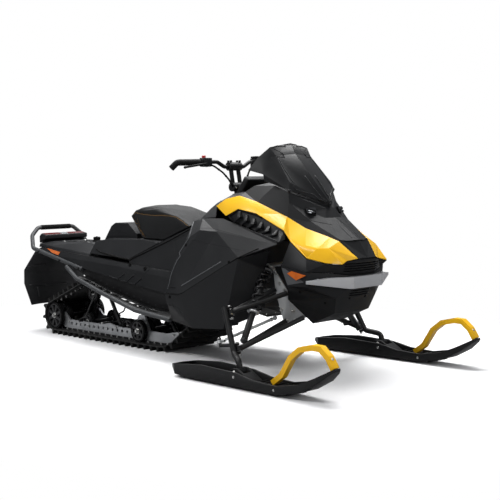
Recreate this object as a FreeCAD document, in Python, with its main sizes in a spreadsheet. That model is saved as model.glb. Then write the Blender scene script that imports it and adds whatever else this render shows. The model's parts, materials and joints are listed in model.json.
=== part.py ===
import FreeCAD, Part
import Sketcher
import math
import os

Vector = FreeCAD.Vector
doc = FreeCAD.newDocument("Snowmobile")
sheet = doc.addObject("Spreadsheet::Sheet", "Sizes")


class Size:
    """A length or count of the spreadsheet, with the cell expression that gives it."""

    def __init__(self, value, text):
        self.value = float(value)
        self.text = text

    def __float__(self):
        return self.value

    def __add__(self, other):
        return Size(self.value + float(other), f"({self.text} + {cell_text(other)})")

    def __radd__(self, other):
        return Size(float(other) + self.value, f"({cell_text(other)} + {self.text})")

    def __sub__(self, other):
        return Size(self.value - float(other), f"({self.text} - {cell_text(other)})")

    def __rsub__(self, other):
        return Size(float(other) - self.value, f"({cell_text(other)} - {self.text})")

    def __mul__(self, other):
        return Size(self.value * float(other), f"({self.text} * {cell_text(other)})")

    def __rmul__(self, other):
        return Size(float(other) * self.value, f"({cell_text(other)} * {self.text})")

    def __truediv__(self, other):
        return Size(self.value / float(other), f"({self.text} / {cell_text(other)})")

    def __neg__(self):
        return Size(-self.value, f"(-{self.text})")


def cell_text(number):
    """The text of a number or of a Size inside a cell expression."""
    return number.text if isinstance(number, Size) else f"{float(number):.6f}"


size_rows = []


def size(alias, value):
    """Write one driving dimension to the sheet and return it as a Size."""
    size_rows.append(alias)
    row = len(size_rows)
    sheet.set(f"A{row}", alias)
    sheet.set(f"B{row}", str(value))
    sheet.setAlias(f"B{row}", alias)
    return Size(value, "Sizes." + alias)


# Clearances and walls shared by many pieces, in millimetres
seat_gap = size("seat_gap", 0.3)
seam_gap = size("seam_gap", 3)
panel_wall = size("panel_wall", 4)
sheet_wall = size("sheet_wall", 3)
belt_clear = size("belt_clear", 1.6)

# Track and skid rails; wheels run on the inner face of the belt
track_width = size("track_width", 381)
belt_thick = size("belt_thick", 7)
lug_high = size("lug_high", 27)
lug_base = size("lug_base", 24)
lug_tip = size("lug_tip", 12)
lug_count = size("lug_count", 56)
lug_lane = size("lug_lane", 112)
run_z = belt_thick + lug_high
rear_wheel_x = size("rear_wheel_x", -1312)
rear_wheel_radius = size("rear_wheel_radius", 90)
carrier_x = size("carrier_x", -935)
carrier_z = size("carrier_z", 300)
carrier_radius = size("carrier_radius", 62)
sprocket_x = size("sprocket_x", 158)
sprocket_z = size("sprocket_z", 306)
sprocket_radius = size("sprocket_radius", 88)
bend_x = size("bend_x", -160)
bend_radius = size("bend_radius", 260)
rail_y = size("rail_y", 135)
rail_thick = size("rail_thick", 12)
slider_high = size("slider_high", 13)
rail_high = size("rail_high", 57)
mid_wheel_x = size("mid_wheel_x", -372)
mid_wheel_radius = size("mid_wheel_radius", 69)
wheel_width = size("wheel_width", 26)
axle_radius = size("axle_radius", 11)

# Tunnel, an inverted channel of sheet that the track runs in
tunnel_width = size("tunnel_width", 412)
tunnel_rear_x = size("tunnel_rear_x", -1405)
tunnel_front_x = size("tunnel_front_x", 330)
tunnel_rear_z = size("tunnel_rear_z", 586)
tunnel_front_z = size("tunnel_front_z", 466)
board_tube_radius = size("board_tube_radius", 13)
board_thick = size("board_thick", 4)

# Skis, spindles and steering
ski_stance = size("ski_stance", 1080)
ski_width = size("ski_width", 130)
ski_pivot_x = size("ski_pivot_x", 950)
ski_pivot_z = size("ski_pivot_z", 72)
keel_high = size("keel_high", 12)
ball_low_x = size("ball_low_x", 850)
ball_low_y = size("ball_low_y", 458)
ball_low_z = size("ball_low_z", 160)
ball_top_x = size("ball_top_x", 770)
ball_top_y = size("ball_top_y", 432)
ball_top_z = size("ball_top_z", 334)
arm_radius = size("arm_radius", 13)
eye_radius = size("eye_radius", 19)
eye_high = size("eye_high", 26)
pin_radius = size("pin_radius", 8)
bar_radius = size("bar_radius", 11)
grip_radius = size("grip_radius", 17)
doc.recompute()

nodes = []


def keep(obj, label):
    """Name an object as one node of the assembly."""
    obj.Label = label
    nodes.append(obj)
    return obj


def bind(obj, **values):
    """Tie properties of an object to cells of the sheet."""
    for name, value in values.items():
        path = name.replace("__", ".")
        if isinstance(value, Size):
            obj.setExpression(path, value.text)
        else:
            obj.setExpression(path, cell_text(value))


def place(obj, x=0, y=0, z=0):
    """Tie the placement of an object to cells of the sheet."""
    bind(obj, Placement__Base__x=x, Placement__Base__y=y, Placement__Base__z=z)
    return obj


def origin_plane(body, role):
    return [item for item in body.Origin.OriginFeatures if item.Role == role][0]


def sketch_on(body, name, role):
    sketch = body.newObject("Sketcher::SketchObject", name)
    sketch.AttachmentSupport = (origin_plane(body, role), "")
    sketch.MapMode = "FlatFace"
    return sketch


def add_polygon(sketch, points):
    """Closed outline whose corners are tied to the sheet."""
    first = sketch.GeometryCount
    count = len(points)
    flat = [Vector(float(x), float(y), 0) for x, y in points]
    for index in range(count):
        sketch.addGeometry(Part.LineSegment(flat[index], flat[(index + 1) % count]), False)
    for index in range(count):
        following = first + (index + 1) % count
        sketch.addConstraint(Sketcher.Constraint("Coincident", first + index, 2, following, 1))
    for index, corner in enumerate(points):
        for kind, value in zip(("DistanceX", "DistanceY"), corner):
            made = sketch.addConstraint(
                Sketcher.Constraint(kind, -1, 1, first + index, 1, float(value)))
            if isinstance(value, Size):
                sketch.setExpression(f"Constraints[{made}]", value.text)


def add_circle(sketch, x, y, radius):
    """Circle whose centre and radius are tied to the sheet."""
    centre = Vector(float(x), float(y), 0)
    index = sketch.addGeometry(Part.Circle(centre, Vector(0, 0, 1), float(radius)), False)
    for kind, value in (("DistanceX", x), ("DistanceY", y)):
        made = sketch.addConstraint(Sketcher.Constraint(kind, -1, 1, index, 3, float(value)))
        if isinstance(value, Size):
            sketch.setExpression(f"Constraints[{made}]", value.text)
    made = sketch.addConstraint(Sketcher.Constraint("Radius", index, float(radius)))
    if isinstance(radius, Size):
        sketch.setExpression(f"Constraints[{made}]", radius.text)


def pad(name, role, points, length):
    """Body with one outline padded to both sides of its plane."""
    body = doc.addObject("PartDesign::Body", name)
    sketch = sketch_on(body, name + "_outline", role)
    add_polygon(sketch, points)
    made = body.newObject("PartDesign::Pad", name + "_pad")
    made.Profile = sketch
    made.Midplane = True
    bind(made, Length=length)
    return body


def pocket(body, name, role, points, length):
    """Cut an outline out of a body, to both sides of its plane."""
    sketch = sketch_on(body, name + "_outline", role)
    add_polygon(sketch, points)
    made = body.newObject("PartDesign::Pocket", name)
    made.Profile = sketch
    made.Midplane = True
    bind(made, Length=length)
    return made


def round_pocket(body, name, role, centre, radius, length):
    """Cut a round hole through a body, to both sides of its plane."""
    sketch = sketch_on(body, name + "_outline", role)
    add_circle(sketch, centre[0], centre[1], radius)
    made = body.newObject("PartDesign::Pocket", name)
    made.Profile = sketch
    made.Midplane = True
    bind(made, Length=length)
    return made


def row_of(body, feature, name, axis, length, count):
    """Repeat a feature along an axis of its sketch."""
    pattern = body.newObject("PartDesign::LinearPattern", name)
    pattern.Originals = [feature]
    pattern.Direction = (feature.Profile[0], [axis])
    bind(pattern, Length=length)
    pattern.Occurrences = int(count)
    body.Tip = pattern
    return pattern


def ring_of(body, feature, name, axis_role, count):
    """Repeat a feature round an axis of the body."""
    pattern = body.newObject("PartDesign::PolarPattern", name)
    pattern.Originals = [feature]
    pattern.Axis = (origin_plane(body, axis_role), [""])
    pattern.Angle = 360
    pattern.Occurrences = int(count)
    body.Tip = pattern
    return pattern


def shape_feature(name, shape):
    made = doc.addObject("Part::Feature", name)
    made.Shape = shape
    return made


def fuse(name, parts):
    made = doc.addObject("Part::MultiFuse", name)
    made.Shapes = parts
    return made


def cut(name, base, tool):
    made = doc.addObject("Part::Cut", name)
    made.Base = base
    made.Tool = tool
    return made


def common(name, base, tool):
    made = doc.addObject("Part::Common", name)
    made.Base = base
    made.Tool = tool
    return made


def compound(name, parts):
    made = doc.addObject("Part::Compound", name)
    made.Links = parts
    return made


def mirror(source, name):
    """The same piece on the other side of the centre plane."""
    made = doc.addObject("Part::Mirroring", name)
    made.Source = source
    made.Base = (0, 0, 0)
    made.Normal = (0, 1, 0)
    return made


def pair(source, label):
    """Keep a right-hand piece and its mirror image as two nodes."""
    keep(source, label + "_right")
    return source, keep(mirror(source, label + "_mirror"), label + "_left")


def point(x, y, z):
    return Vector(float(x), float(y), float(z))


def rod(name, start, end, radius):
    """Round bar between two points."""
    start, end = point(*start), point(*end)
    run = end - start
    return shape_feature(name, Part.makeCylinder(float(radius), run.Length, start, run))


def across(name, x, z, radius, width, y=0):
    """Cylinder across the machine, centred on the side offset y."""
    made = doc.addObject("Part::Cylinder", name)
    bind(made, Radius=radius, Height=width)
    made.Placement = FreeCAD.Placement(Vector(), FreeCAD.Rotation(Vector(1, 0, 0), -90))
    place(made, x, y - width / 2, z)
    return made


# Share of a straight run that one bend may take
bend_share = 0.45


def tube_shape(points, radius, bend):
    """Solid bar bent along straight runs joined by tangent arcs."""
    corners = [point(*item) for item in points]
    edges = []
    reached = corners[0]
    for before, corner, after in zip(corners, corners[1:], corners[2:]):
        towards = (before - corner).normalize()
        away = (after - corner).normalize()
        half = towards.getAngle(away) / 2
        room = bend_share * min((before - corner).Length, (after - corner).Length)
        reach = min(float(bend) / math.tan(half), room)
        start, end = corner + towards * reach, corner + away * reach
        sag = reach * math.tan(half) / math.sin(half) - reach * math.tan(half)
        middle = corner + (towards + away).normalize() * sag
        edges.append(Part.LineSegment(reached, start).toShape())
        edges.append(Part.Arc(start, middle, end).toShape())
        reached = end
    edges.append(Part.LineSegment(reached, corners[-1]).toShape())
    path = Part.Wire(edges)
    section = Part.Wire([Part.Circle(corners[0], corners[1] - corners[0], float(radius)).toShape()])
    return path.makePipeShell([section], True, False)


def tube(name, points, radius, bend):
    return shape_feature(name, tube_shape(points, radius, bend))


# The least share of its length that a mitred corner of a wall keeps
mitre_limit = 0.5


def facet_shape(corners, facets, wall, inside):
    """Moulded panel of flat facets: outer corners, the facets that join them, and a wall.

    The facets are turned away from the point inside, and each corner of the inner face
    lies one wall behind all the facets that meet there.
    """
    spots = {name: point(*spot) for name, spot in corners.items()}
    triangles = []
    for facet in facets:
        for index in range(1, len(facet) - 1):
            triangles.append((facet[0], facet[index], facet[index + 1]))
    normals = {name: [] for name in spots}
    turned = []
    for a, b, c in triangles:
        normal = (spots[b] - spots[a]).cross(spots[c] - spots[a]).normalize()
        if normal.dot(spots[a] - inside) < 0:
            b, c, normal = c, b, -normal
        turned.append((a, b, c))
        for name in (a, b, c):
            normals[name].append(normal)
    inner = {}
    for name, around in normals.items():
        mean = Vector()
        for normal in around:
            mean = mean + normal
        mean.normalize()
        reach = min(mean.dot(normal) for normal in around)
        inner[name] = spots[name] - mean * (float(wall) / max(reach, mitre_limit))
    faces = []
    edges = {}
    for a, b, c in turned:
        faces.append((spots[a], spots[b], spots[c]))
        faces.append((inner[c], inner[b], inner[a]))
        for first, second in ((a, b), (b, c), (c, a)):
            edges[(first, second)] = True
    for first, second in edges:
        if (second, first) not in edges:
            faces.append((spots[second], spots[first], inner[first]))
            faces.append((spots[second], inner[first], inner[second]))
    shell = Part.makeShell([Part.Face(Part.makePolygon([a, b, c, a])) for a, b, c in faces])
    return Part.Solid(shell).removeSplitter()


def facet_panel(name, corners, facets, wall, inside):
    return shape_feature(name, facet_shape(corners, facets, wall, point(*inside)))


def facet_block(corners, facets):
    """Closed solid whose corners and facets are all given."""
    spots = {name: point(*spot) for name, spot in corners.items()}
    faces = []
    for facet in facets:
        for index in range(1, len(facet) - 1):
            trio = [spots[facet[0]], spots[facet[index]], spots[facet[index + 1]]]
            faces.append(Part.Face(Part.makePolygon(trio + trio[:1])))
    solid = Part.Solid(Part.makeShell(faces))
    tolerance = 0.01
    solid.fix(tolerance, tolerance, tolerance)
    return solid.removeSplitter()


# Track: one rubber belt round the wheels, with lugs in three lanes.
# The lane in the middle has its lugs half a pitch further on.
loop_wheels = [(rear_wheel_x, run_z + rear_wheel_radius, rear_wheel_radius),
               (carrier_x, carrier_z, carrier_radius),
               (sprocket_x, sprocket_z, sprocket_radius),
               (bend_x, run_z + bend_radius, bend_radius)]


def belt_runs():
    """Straight runs and arcs of the belt's inner face, clockwise from the rear wheel."""
    runs = []
    count = len(loop_wheels)
    wheels = [(Vector(float(x), 0, float(z)), float(r)) for x, z, r in loop_wheels]
    leaving = []
    for index in range(count):
        here, radius = wheels[index]
        there, other = wheels[(index + 1) % count]
        gap = there - here
        tilt = math.atan2(gap.z, gap.x)
        lean = math.acos((radius - other) / gap.Length)
        leaving.append(tilt + lean)
    for index in range(count):
        here, radius = wheels[index]
        start = leaving[index - 1]
        end = leaving[index]
        while start < end:
            start += 2 * math.pi
        runs.append(("arc", here, radius, start, end))
        there, other = wheels[(index + 1) % count]
        out = Vector(math.cos(end), 0, math.sin(end))
        runs.append(("line", here + out * radius, there + out * other, out, None))
    return runs


def run_length(run):
    if run[0] == "arc":
        return run[2] * (run[3] - run[4])
    return (run[2] - run[1]).Length


runs = belt_runs()
belt_length = sum(run_length(run) for run in runs)


def belt_point(distance, outward):
    """Point at a distance along the belt's inner face, raised outward from it."""
    distance = distance % belt_length
    for run in runs:
        length = run_length(run)
        if distance <= length:
            break
        distance -= length
    if run[0] == "arc":
        angle = run[3] - distance / run[2]
        out = Vector(math.cos(angle), 0, math.sin(angle))
        return run[1] + out * (run[2] + outward)
    along = (run[2] - run[1]).normalize()
    return run[1] + along * distance + run[3] * outward


def track_lane(low_y, high_y, shifted):
    """One lane across the track, from its low to its high side."""
    pitch = belt_length / float(lug_count)
    belt = float(belt_thick)
    outer, inner = [], []
    for index in range(int(float(lug_count))):
        for half in (0, 1):
            middle = (index + half / 2) * pitch
            back, front = middle - float(lug_base) / 2, middle + float(lug_base) / 2
            outer.append(belt_point(back, belt))
            if half == shifted:
                tip = belt + float(lug_high)
                for end in (back, front):
                    lug_end = belt_point(end, tip) - belt_point(middle, tip)
                    outer.append(belt_point(middle, tip) + lug_end * (float(lug_tip) / float(lug_base)))
            outer.append(belt_point(front, belt))
            inner.append(belt_point(back, 0))
            inner.append(belt_point(front, 0))
    ring = Part.Face(Part.makePolygon(outer + outer[:1]))
    ring = ring.cut(Part.Face(Part.makePolygon(inner + inner[:1])))
    ring.translate(Vector(0, float(low_y), 0))
    return ring.extrude(Vector(0, float(high_y) - float(low_y), 0))


half_track = track_width / 2
lanes = [track_lane(-half_track, -half_track + lug_lane, 0),
         track_lane(-half_track + lug_lane, half_track - lug_lane, 1),
         track_lane(half_track - lug_lane, half_track, 0)]
track = shape_feature("track_belt", lanes[0].fuse(lanes[1:]).removeSplitter().Solids[0])
keep(track, "track")


# Tunnel: folded aluminium channel over the track, its lower edge on the running boards.
def slope(x, x0, z0, x1, z1):
    """Height at x on the line through two points."""
    return z0 + (z1 - z0) * (x - x0) / (x1 - x0)


def tunnel_top(x):
    """Height just above the tunnel's roof."""
    ends = [float(value) for value in (tunnel_rear_x, tunnel_rear_z, tunnel_front_x, tunnel_front_z)]
    return slope(x, *ends) + float(seat_gap)


board_line = [(-1034, -240, 471), (-865, -280, 410), (-573, -300, 340), (-176, -330, 261), (187, -346, 233)]
board_rise = 8
board_lap = 2
tunnel_low = [(tunnel_front_x, 243), (187, 243)]
tunnel_low = tunnel_low + [(x, z + board_rise - board_lap) for x, y, z in reversed(board_line[1:4])]
tunnel_low = tunnel_low + [(-1034, 478), (-1180, 515)]
tunnel_outline = [(tunnel_rear_x, tunnel_rear_z), (tunnel_front_x, tunnel_front_z)] + tunnel_low
rear_lip = size("rear_lip", 38)
doc.recompute()
tunnel_outline.append((tunnel_rear_x, tunnel_rear_z - rear_lip))
tunnel = pad("tunnel_body", "XZ_Plane", tunnel_outline, tunnel_width)
overrun = 10
overrun_rise = 0.7
hollow_low = 150
inner_outline = [(tunnel_rear_x - overrun, tunnel_rear_z - sheet_wall + overrun_rise),
                 (tunnel_front_x + overrun, tunnel_front_z - sheet_wall - overrun_rise),
                 (tunnel_front_x + overrun, hollow_low), (tunnel_rear_x - overrun, hollow_low)]
pocket(tunnel, "tunnel_hollow", "XZ_Plane", inner_outline, tunnel_width - sheet_wall * 2)
keep(tunnel, "tunnel")

# Running boards: flat plate with oblong holes beside the tunnel, edged by a bent tube.
board_inner_y = tunnel_width / 2 + seat_gap
board_hole_long = size("board_hole_long", 52)
board_hole_wide = size("board_hole_wide", 26)
board_hole_pitch = size("board_hole_pitch", 79.4)
board_hole_rows = size("board_hole_rows", 10)
board_hole_x = size("board_hole_x", -771.5)
board_hole_line = (-865, -252, 187, -280)
doc.recompute()
board_corners = {}
board_facets = []
for index, (x, y, z) in enumerate(board_line[1:]):
    board_corners[f"i{index}"] = (x, -board_inner_y, z + board_rise)
    board_corners[f"o{index}"] = (x, y + float(board_tube_radius), z + board_rise)
    if index:
        board_facets.append((f"i{index - 1}", f"o{index - 1}", f"o{index}", f"i{index}"))
plate = facet_panel("board_plate_right", board_corners, board_facets, board_thick, (-300, -260, -5000))


def oblong(centre, tilt, long, wide):
    """Cutter with round ends, standing square on a plate that falls forward by the tilt."""
    reach = (long - wide) / 2
    deep = 60
    ends = [Part.makeCylinder(wide / 2, deep, Vector(side * reach, 0, -deep / 2)) for side in (-1, 1)]
    middle = Part.makeBox(reach * 2, wide, deep, Vector(-reach, -wide / 2, -deep / 2))
    cutter = middle.fuse(ends).removeSplitter()
    cutter.Placement = FreeCAD.Placement(centre, FreeCAD.Rotation(Vector(0, 1, 0), tilt))
    return cutter


cutters = []
for index in range(int(float(board_hole_rows))):
    hole_x = float(board_hole_x) + index * float(board_hole_pitch)
    for (x0, y0, z0), (x1, y1, z1) in zip(board_line[1:], board_line[2:]):
        if x0 < hole_x < x1:
            level = slope(hole_x, x0, z0, x1, z1) + board_rise - board_lap
            middle = Vector(hole_x, slope(hole_x, *board_hole_line), level)
            tilt = math.degrees(math.atan2(z0 - z1, x1 - x0))
            cutters.append(oblong(middle, tilt, float(board_hole_long), float(board_hole_wide)))
hole_tool = shape_feature("board_holes", Part.makeCompound(cutters))
holed = cut("board_plate_holed", plate, hole_tool)
plate_left = mirror(plate, "board_plate_left")
holed_left = cut("board_plate_left_holed", plate_left, mirror(hole_tool, "board_holes_left"))
board_tube_bend = 60
board_tube_end = (170, -345, 234.5)
board_tube = tube("board_tube_bent", board_line[:-1] + [board_tube_end], board_tube_radius, board_tube_bend)
pair(board_tube, "board_tube")
toe_corners = {
    "a": (187, -347, 235), "b": (163, -354, 318), "c": (230, -358, 314), "d": (380, -358, 209),
}
toe_plate = facet_panel("toe_plate", toe_corners, ["abcd"], panel_wall, (200, 0, 250))
floor_corners = {
    "a": (187, -board_inner_y, 241), "b": (187, -333, 241), "c": (200, -344.5, 239),
    "d": (378, -354.6, 212), "e": (378, -board_inner_y, 212),
}
toe_floor = facet_panel("toe_floor", floor_corners, ["abcde"], board_thick, (250, -260, -5000))
edge_pieces = [toe_plate, toe_floor]
board = keep(fuse("board_right", [holed] + edge_pieces), "running_board_right")
edge_pieces_left = [mirror(piece, piece.Name + "_left") for piece in edge_pieces]
keep(fuse("board_left", [holed_left] + edge_pieces_left), "running_board_left")

# Rear bumper: bent tube that is also the lifting handle, bolted along the tunnel sides.
bumper_radius = size("bumper_radius", 14)
bumper_side_y = size("bumper_side_y", 224)
bumper_top_y = size("bumper_top_y", 140)
doc.recompute()
bumper_half = [(-870, -bumper_side_y, 462), (-1474, -bumper_side_y, 580), (-1524, -bumper_side_y + 26, 664),
               (-1540, -bumper_top_y, 716)]
bumper_path = bumper_half + [(x, -y, z) for x, y, z in reversed(bumper_half)]
bumper_bend = 45
bumper = tube("rear_bumper_tube", bumper_path, bumper_radius, bumper_bend)
keep(bumper, "rear_bumper")

# Snow flap: moulded rubber sheet behind the track, with a raised surround.
flap_corners = {
    "t": (-1406.1, -200, 585.4), "a": (-1470, -204, 570), "b": (-1576, -243, 426),
    "g": (-1580, -244, 333), "c": (-1580, -193, 177), "e": (-1576, -124, 181), "d": (-1568, -144, 310),
    "f": (-1572, -150, 400),
}
for name, (x, y, z) in list(flap_corners.items()):
    flap_corners[name.upper()] = (x, -y, z)
flap_facets = ["tTAa", "aAFf", "fFDd", "dDEe", "abf", "bgf", "gdf", "gcd", "cde"]
flap_facets = flap_facets + ["ABF", "BGF", "GDF", "GCD", "CDE"]
flap_wall = size("flap_wall", 6)
doc.recompute()
flap = facet_panel("snow_flap_sheet", flap_corners, flap_facets, flap_wall, (0, 0, 400))
keep(flap, "snow_flap")

# Side covers: long strip with a bevelled top over each side of the tunnel.
cover_gap = 3.4
cover_y = float(tunnel_width) / 2 + cover_gap
cover_corners = {
    "a": (-1391, -cover_y, 584.5), "b": (150, -cover_y, 478), "c": (-1391, -219, 560),
    "d": (-1124, -222, 534), "e": (-467, -222, 495), "f": (150, -222, 436), "g": (-1150, -225, 512),
    "h": (-839, -229, 466), "i": (-475, -229, 416), "j": (-22, -229, 361), "k": (150, -229, 340),
}
cover_facets = ["acd", "ade", "abe", "bfe", "cgd", "dgh", "dhe", "ehi", "eij", "efj", "fjk"]
cover_raw = facet_panel("side_cover_sheet", cover_corners, cover_facets, panel_wall, (-600, 0, 300))
cover_clear = fuse("side_cover_tools", [tunnel, bumper])
cover = cut("side_cover_cut", cover_raw, cover_clear)
pair(cover, "side_cover")

# Rack deck: moulded cover on the rear of the tunnel, flat on top, with four accessory holes.
rack_top_z = size("rack_top_z", 624)
doc.recompute()
deck_corners = {}
deck_half, deck_edge_half, deck_flat_half = 196, 188, 110
deck_line = [(-1440, 612, 622), (-1340, 601, rack_top_z), (-960, 570, rack_top_z), (-835, 560, 612)]
for index, (x, edge_z, top_z) in enumerate(deck_line):
    for side, mark in ((-1, "r"), (1, "l")):
        deck_corners[f"{mark}b{index}"] = (x, side * deck_half, tunnel_top(x))
        deck_corners[f"{mark}e{index}"] = (x, side * deck_edge_half, edge_z)
        deck_corners[f"{mark}t{index}"] = (x, side * deck_flat_half, top_z)
deck_facets = []
for index in range(len(deck_line) - 1):
    following = index + 1
    ring = [("rb", "re"), ("re", "rt"), ("rt", "lt"), ("lt", "le"), ("le", "lb"), ("lb", "rb")]
    for first, second in ring:
        near_edge = (f"{first}{index}", f"{second}{index}")
        far_edge = (f"{second}{following}", f"{first}{following}")
        deck_facets.append(near_edge + far_edge)
for index in (0, len(deck_line) - 1):
    deck_facets.append(tuple(f"{corner}{index}" for corner in ("rb", "re", "rt", "lt", "le", "lb")))
rack_hole_x = size("rack_hole_x", -1150)
rack_hole_long = size("rack_hole_long", 300)
rack_hole_wide = size("rack_hole_wide", 170)
rack_hole_radius = size("rack_hole_radius", 5.5)
doc.recompute()
rack_holes = []
for side_x in (-1, 1):
    for side_y in (-1, 1):
        spot = point(rack_hole_x + side_x * rack_hole_long / 2, side_y * rack_hole_wide / 2, rack_top_z - 34)
        rack_holes.append(Part.makeCylinder(float(rack_hole_radius), 60, spot))
rack_tool = shape_feature("rack_deck_holes", Part.makeCompound(rack_holes))
deck_block = shape_feature("rack_deck_block", facet_block(deck_corners, deck_facets))
deck = cut("rack_deck_cut", deck_block, rack_tool)
keep(deck, "rack_deck")

# Tail lamp: low lens bar across the rear of the deck.
lamp_outline = [(-1478, 614), (-1478, 660), (-1455, 678), (-1400, 668), (-1400, 640), (-1440.3, 632),
                (-1440.3, 614)]
tail_lamp_wide = size("tail_lamp_wide", 340)
doc.recompute()
lamp = pad("tail_lamp_body", "XZ_Plane", lamp_outline, tail_lamp_wide)
keep(lamp, "tail_lamp")

# Seat base: low moulded tier with an angular box behind the seat.
tier_line = [(-832, 562), (-805, 640), (-685, 657), (-339, 663), (-130, 656), (128, 738), (-142, 645),
             (-402, 541)]
base_corners = {}
tier_half = [196, 165, 152, 152, 152, 150, 168, 200]
for index, ((x, z), half) in enumerate(zip(tier_line, tier_half)):
    base_corners[f"r{index}"] = (x, -half, z)
    base_corners[f"l{index}"] = (x, half, z)
count = len(tier_line)
base_facets = []
for index in range(count):
    following = (index + 1) % count
    base_facets.append((f"r{index}", f"r{following}", f"l{following}", f"l{index}"))
side_facets = [(7, 0, 1), (7, 1, 2), (7, 2, 3), (7, 3, 6), (3, 4, 6), (4, 5, 6)]
for mark in "rl":
    base_facets += [tuple(f"{mark}{index}" for index in trio) for trio in side_facets]
tier = shape_feature("seat_tier", facet_block(base_corners, base_facets))
box_outline = [(-800, 636), (-712, 736), (-668, 757), (-530, 757), (-440, 690), (-440, 640)]
seat_box_wide = size("seat_box_wide", 210)
doc.recompute()
rear_box = pad("seat_box", "XZ_Plane", box_outline, seat_box_wide)
seat_base = fuse("seat_base_block", [tier, rear_box])

# Seat: one padded cushion with a flat saddle, wedge-shaped from the side.
seat_outline = [(-457, 806), (-407, 851), (-350, 864), (-190, 858), (0, 812), (134, 748),
                (-130, 656.4), (-339, 663.4)]
seat_wide = size("seat_wide", 300)
seat_round = size("seat_round", 26)
doc.recompute()
seat = pad("seat_cushion", "XZ_Plane", seat_outline, seat_wide)
doc.recompute()
crown = [f"Edge{index + 1}" for index, edge in enumerate(seat.Shape.Edges)
         if abs(edge.Vertexes[0].Y - edge.Vertexes[-1].Y) < 1]
flat_seat = seat.Tip
rounding = seat.newObject("PartDesign::Fillet", "seat_crown")
rounding.Base = (flat_seat, crown)
bind(rounding, Radius=seat_round)
seat.Tip = rounding
doc.recompute()
keep(cut("seat_base_cut", seat_base, seat), "seat_base")
keep(seat, "seat")

# Tank cover: solid shroud between the seat base, the tunnel and the console.
tank_corners = {}
tank_line = [(-400, tunnel_top(-400), 199), (-400, 540, 199), (-140, 643, 167), (130, 739, 149),
             (250, 790, 150), (300, 800, 150), (300, tunnel_top(300), 199)]
for index, (x, z, half) in enumerate(tank_line):
    tank_corners[f"r{index}"] = (x, -half, z)
    tank_corners[f"l{index}"] = (x, half, z)
tank_facets = []
count = len(tank_line)
for index in range(count):
    following = (index + 1) % count
    tank_facets.append((f"r{index}", f"r{following}", f"l{following}", f"l{index}"))
for mark in "rl":
    for trio in [(0, 1, 2), (0, 2, 6), (2, 3, 6), (3, 5, 6), (3, 4, 5)]:
        tank_facets.append(tuple(f"{mark}{index}" for index in trio))
tank_raw = shape_feature("tank_cover_block", facet_block(tank_corners, tank_facets))
tank = cut("tank_cover_cut", tank_raw, fuse("tank_tools", [tunnel, seat_base, seat]))
keep(tank, "tank_cover")

# Side panels: faceted upper panels that open over the engine bay.
side_corners = {
    "a": (246, -222, 780), "b": (328, -224, 796), "c": (513, -240, 797), "d": (982, -316, 697),
    "e": (1000, -322, 676), "k": (390, -300, 735), "n": (527, -300, 729), "r": (271, -300, 683),
    "s": (194, -340, 531), "t": (144, -360, 387), "u": (297, -370, 391), "v": (671, -370, 565),
    "w": (766, -370, 604),
}
side_facets = ["abkr", "bcnk", "cden", "rsk", "stu", "suk", "ukn", "unv", "nvw", "nwe"]
side_panel = facet_panel("side_panel_sheet", side_corners, side_facets, panel_wall, (500, 0, 450))
pair(side_panel, "side_panel")

# Lower panels: the skirt under each side panel, turned in ahead of the suspension.
low_corners = {
    "t": (144, -360, 387 - seam_gap), "u": (297, -370, 391 - seam_gap),
    "v": (671, -370, 565 - seam_gap), "w": (766, -370, 602 - seam_gap), "e": (930, -310, 640),
    "f": (623, -355, 226), "g": (770, -250, 300), "p": (163, -357, 320), "q": (230, -361, 316),
    "z": (381, -361, 210), "m": (830, -245, 540),
}
low_facets = ["tuqp", "uzq", "uvz", "vfz", "vwf", "wgf", "wmg", "wem"]
low = facet_panel("lower_panel_sheet", low_corners, low_facets, panel_wall, (500, 0, 450))
damper_foot = (846, -418, 196)
damper_head = (806, -203, 545)
damper_room_radius = 35
damper_room = rod("front_damper_room", damper_foot, damper_head, damper_room_radius)
low = cut("lower_panel_cut", low, fuse("lower_panel_tools", [board, board_tube, damper_room]))
pair(low, "lower_panel")

# Front end of the bodywork; the corners near it are placed back from there.
nose_x = size("nose_x", 1303)
doc.recompute()

# Yellow panels: long swept cover on each side of the hood, light facet over a deeper one.
gold_corners = {
    "a": (426, -210, 863), "b": (505, -210, 900), "c": (615, -210, 917), "d": (742, -210, 885),
    "e": (909, -200, 822), "f": (951, -200, 808), "g": (1058, -180, 751),
    "h": (nose_x - 129, -130, 705), "i": (nose_x - 87, -110, 685), "j": (nose_x, -70, 601),
    "k": (nose_x - 28, -120, 592), "l": (nose_x - 15, -170, 579), "m": (nose_x - 77, -220, 586),
    "n": (nose_x - 154, -270, 611), "o": (1045, -270, 690), "p": (987, -260, 743),
    "q": (771, -240, 824), "r": (633, -240, 848), "s": (535, -240, 811), "u": (1018, -250, 702),
    "v": (nose_x - 191, -240, 670), "w": (nose_x - 129, -220, 655), "x": (nose_x - 92, -180, 654),
}
gold_facets = ["asb", "bsr", "brc", "crq", "cqd", "dqe", "eqp", "epf", "fpu", "pou", "fug", "guv", "gvh",
               "hvw", "hwi", "iwx", "ixj", "jxk", "uon", "unv", "vnw", "wnm", "wmx", "xml", "xlk"]
gold = facet_panel("yellow_panel_sheet", gold_corners, gold_facets, panel_wall, (850, 0, 500))
pair(gold, "yellow_panel")


def both_sides(corners, facets):
    """Add the mirror image of the corners named in small letters, and of their facets."""
    whole = dict(corners)
    for name, (x, y, z) in corners.items():
        if y != 0:
            whole[name + "'"] = (x, -y, z)
    result = [tuple(facet) for facet in facets]
    for facet in facets:
        other = tuple(name + "'" if name + "'" in whole else name for name in facet)
        if set(other) != set(facet):
            result.append(other)
    return whole, result


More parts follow.
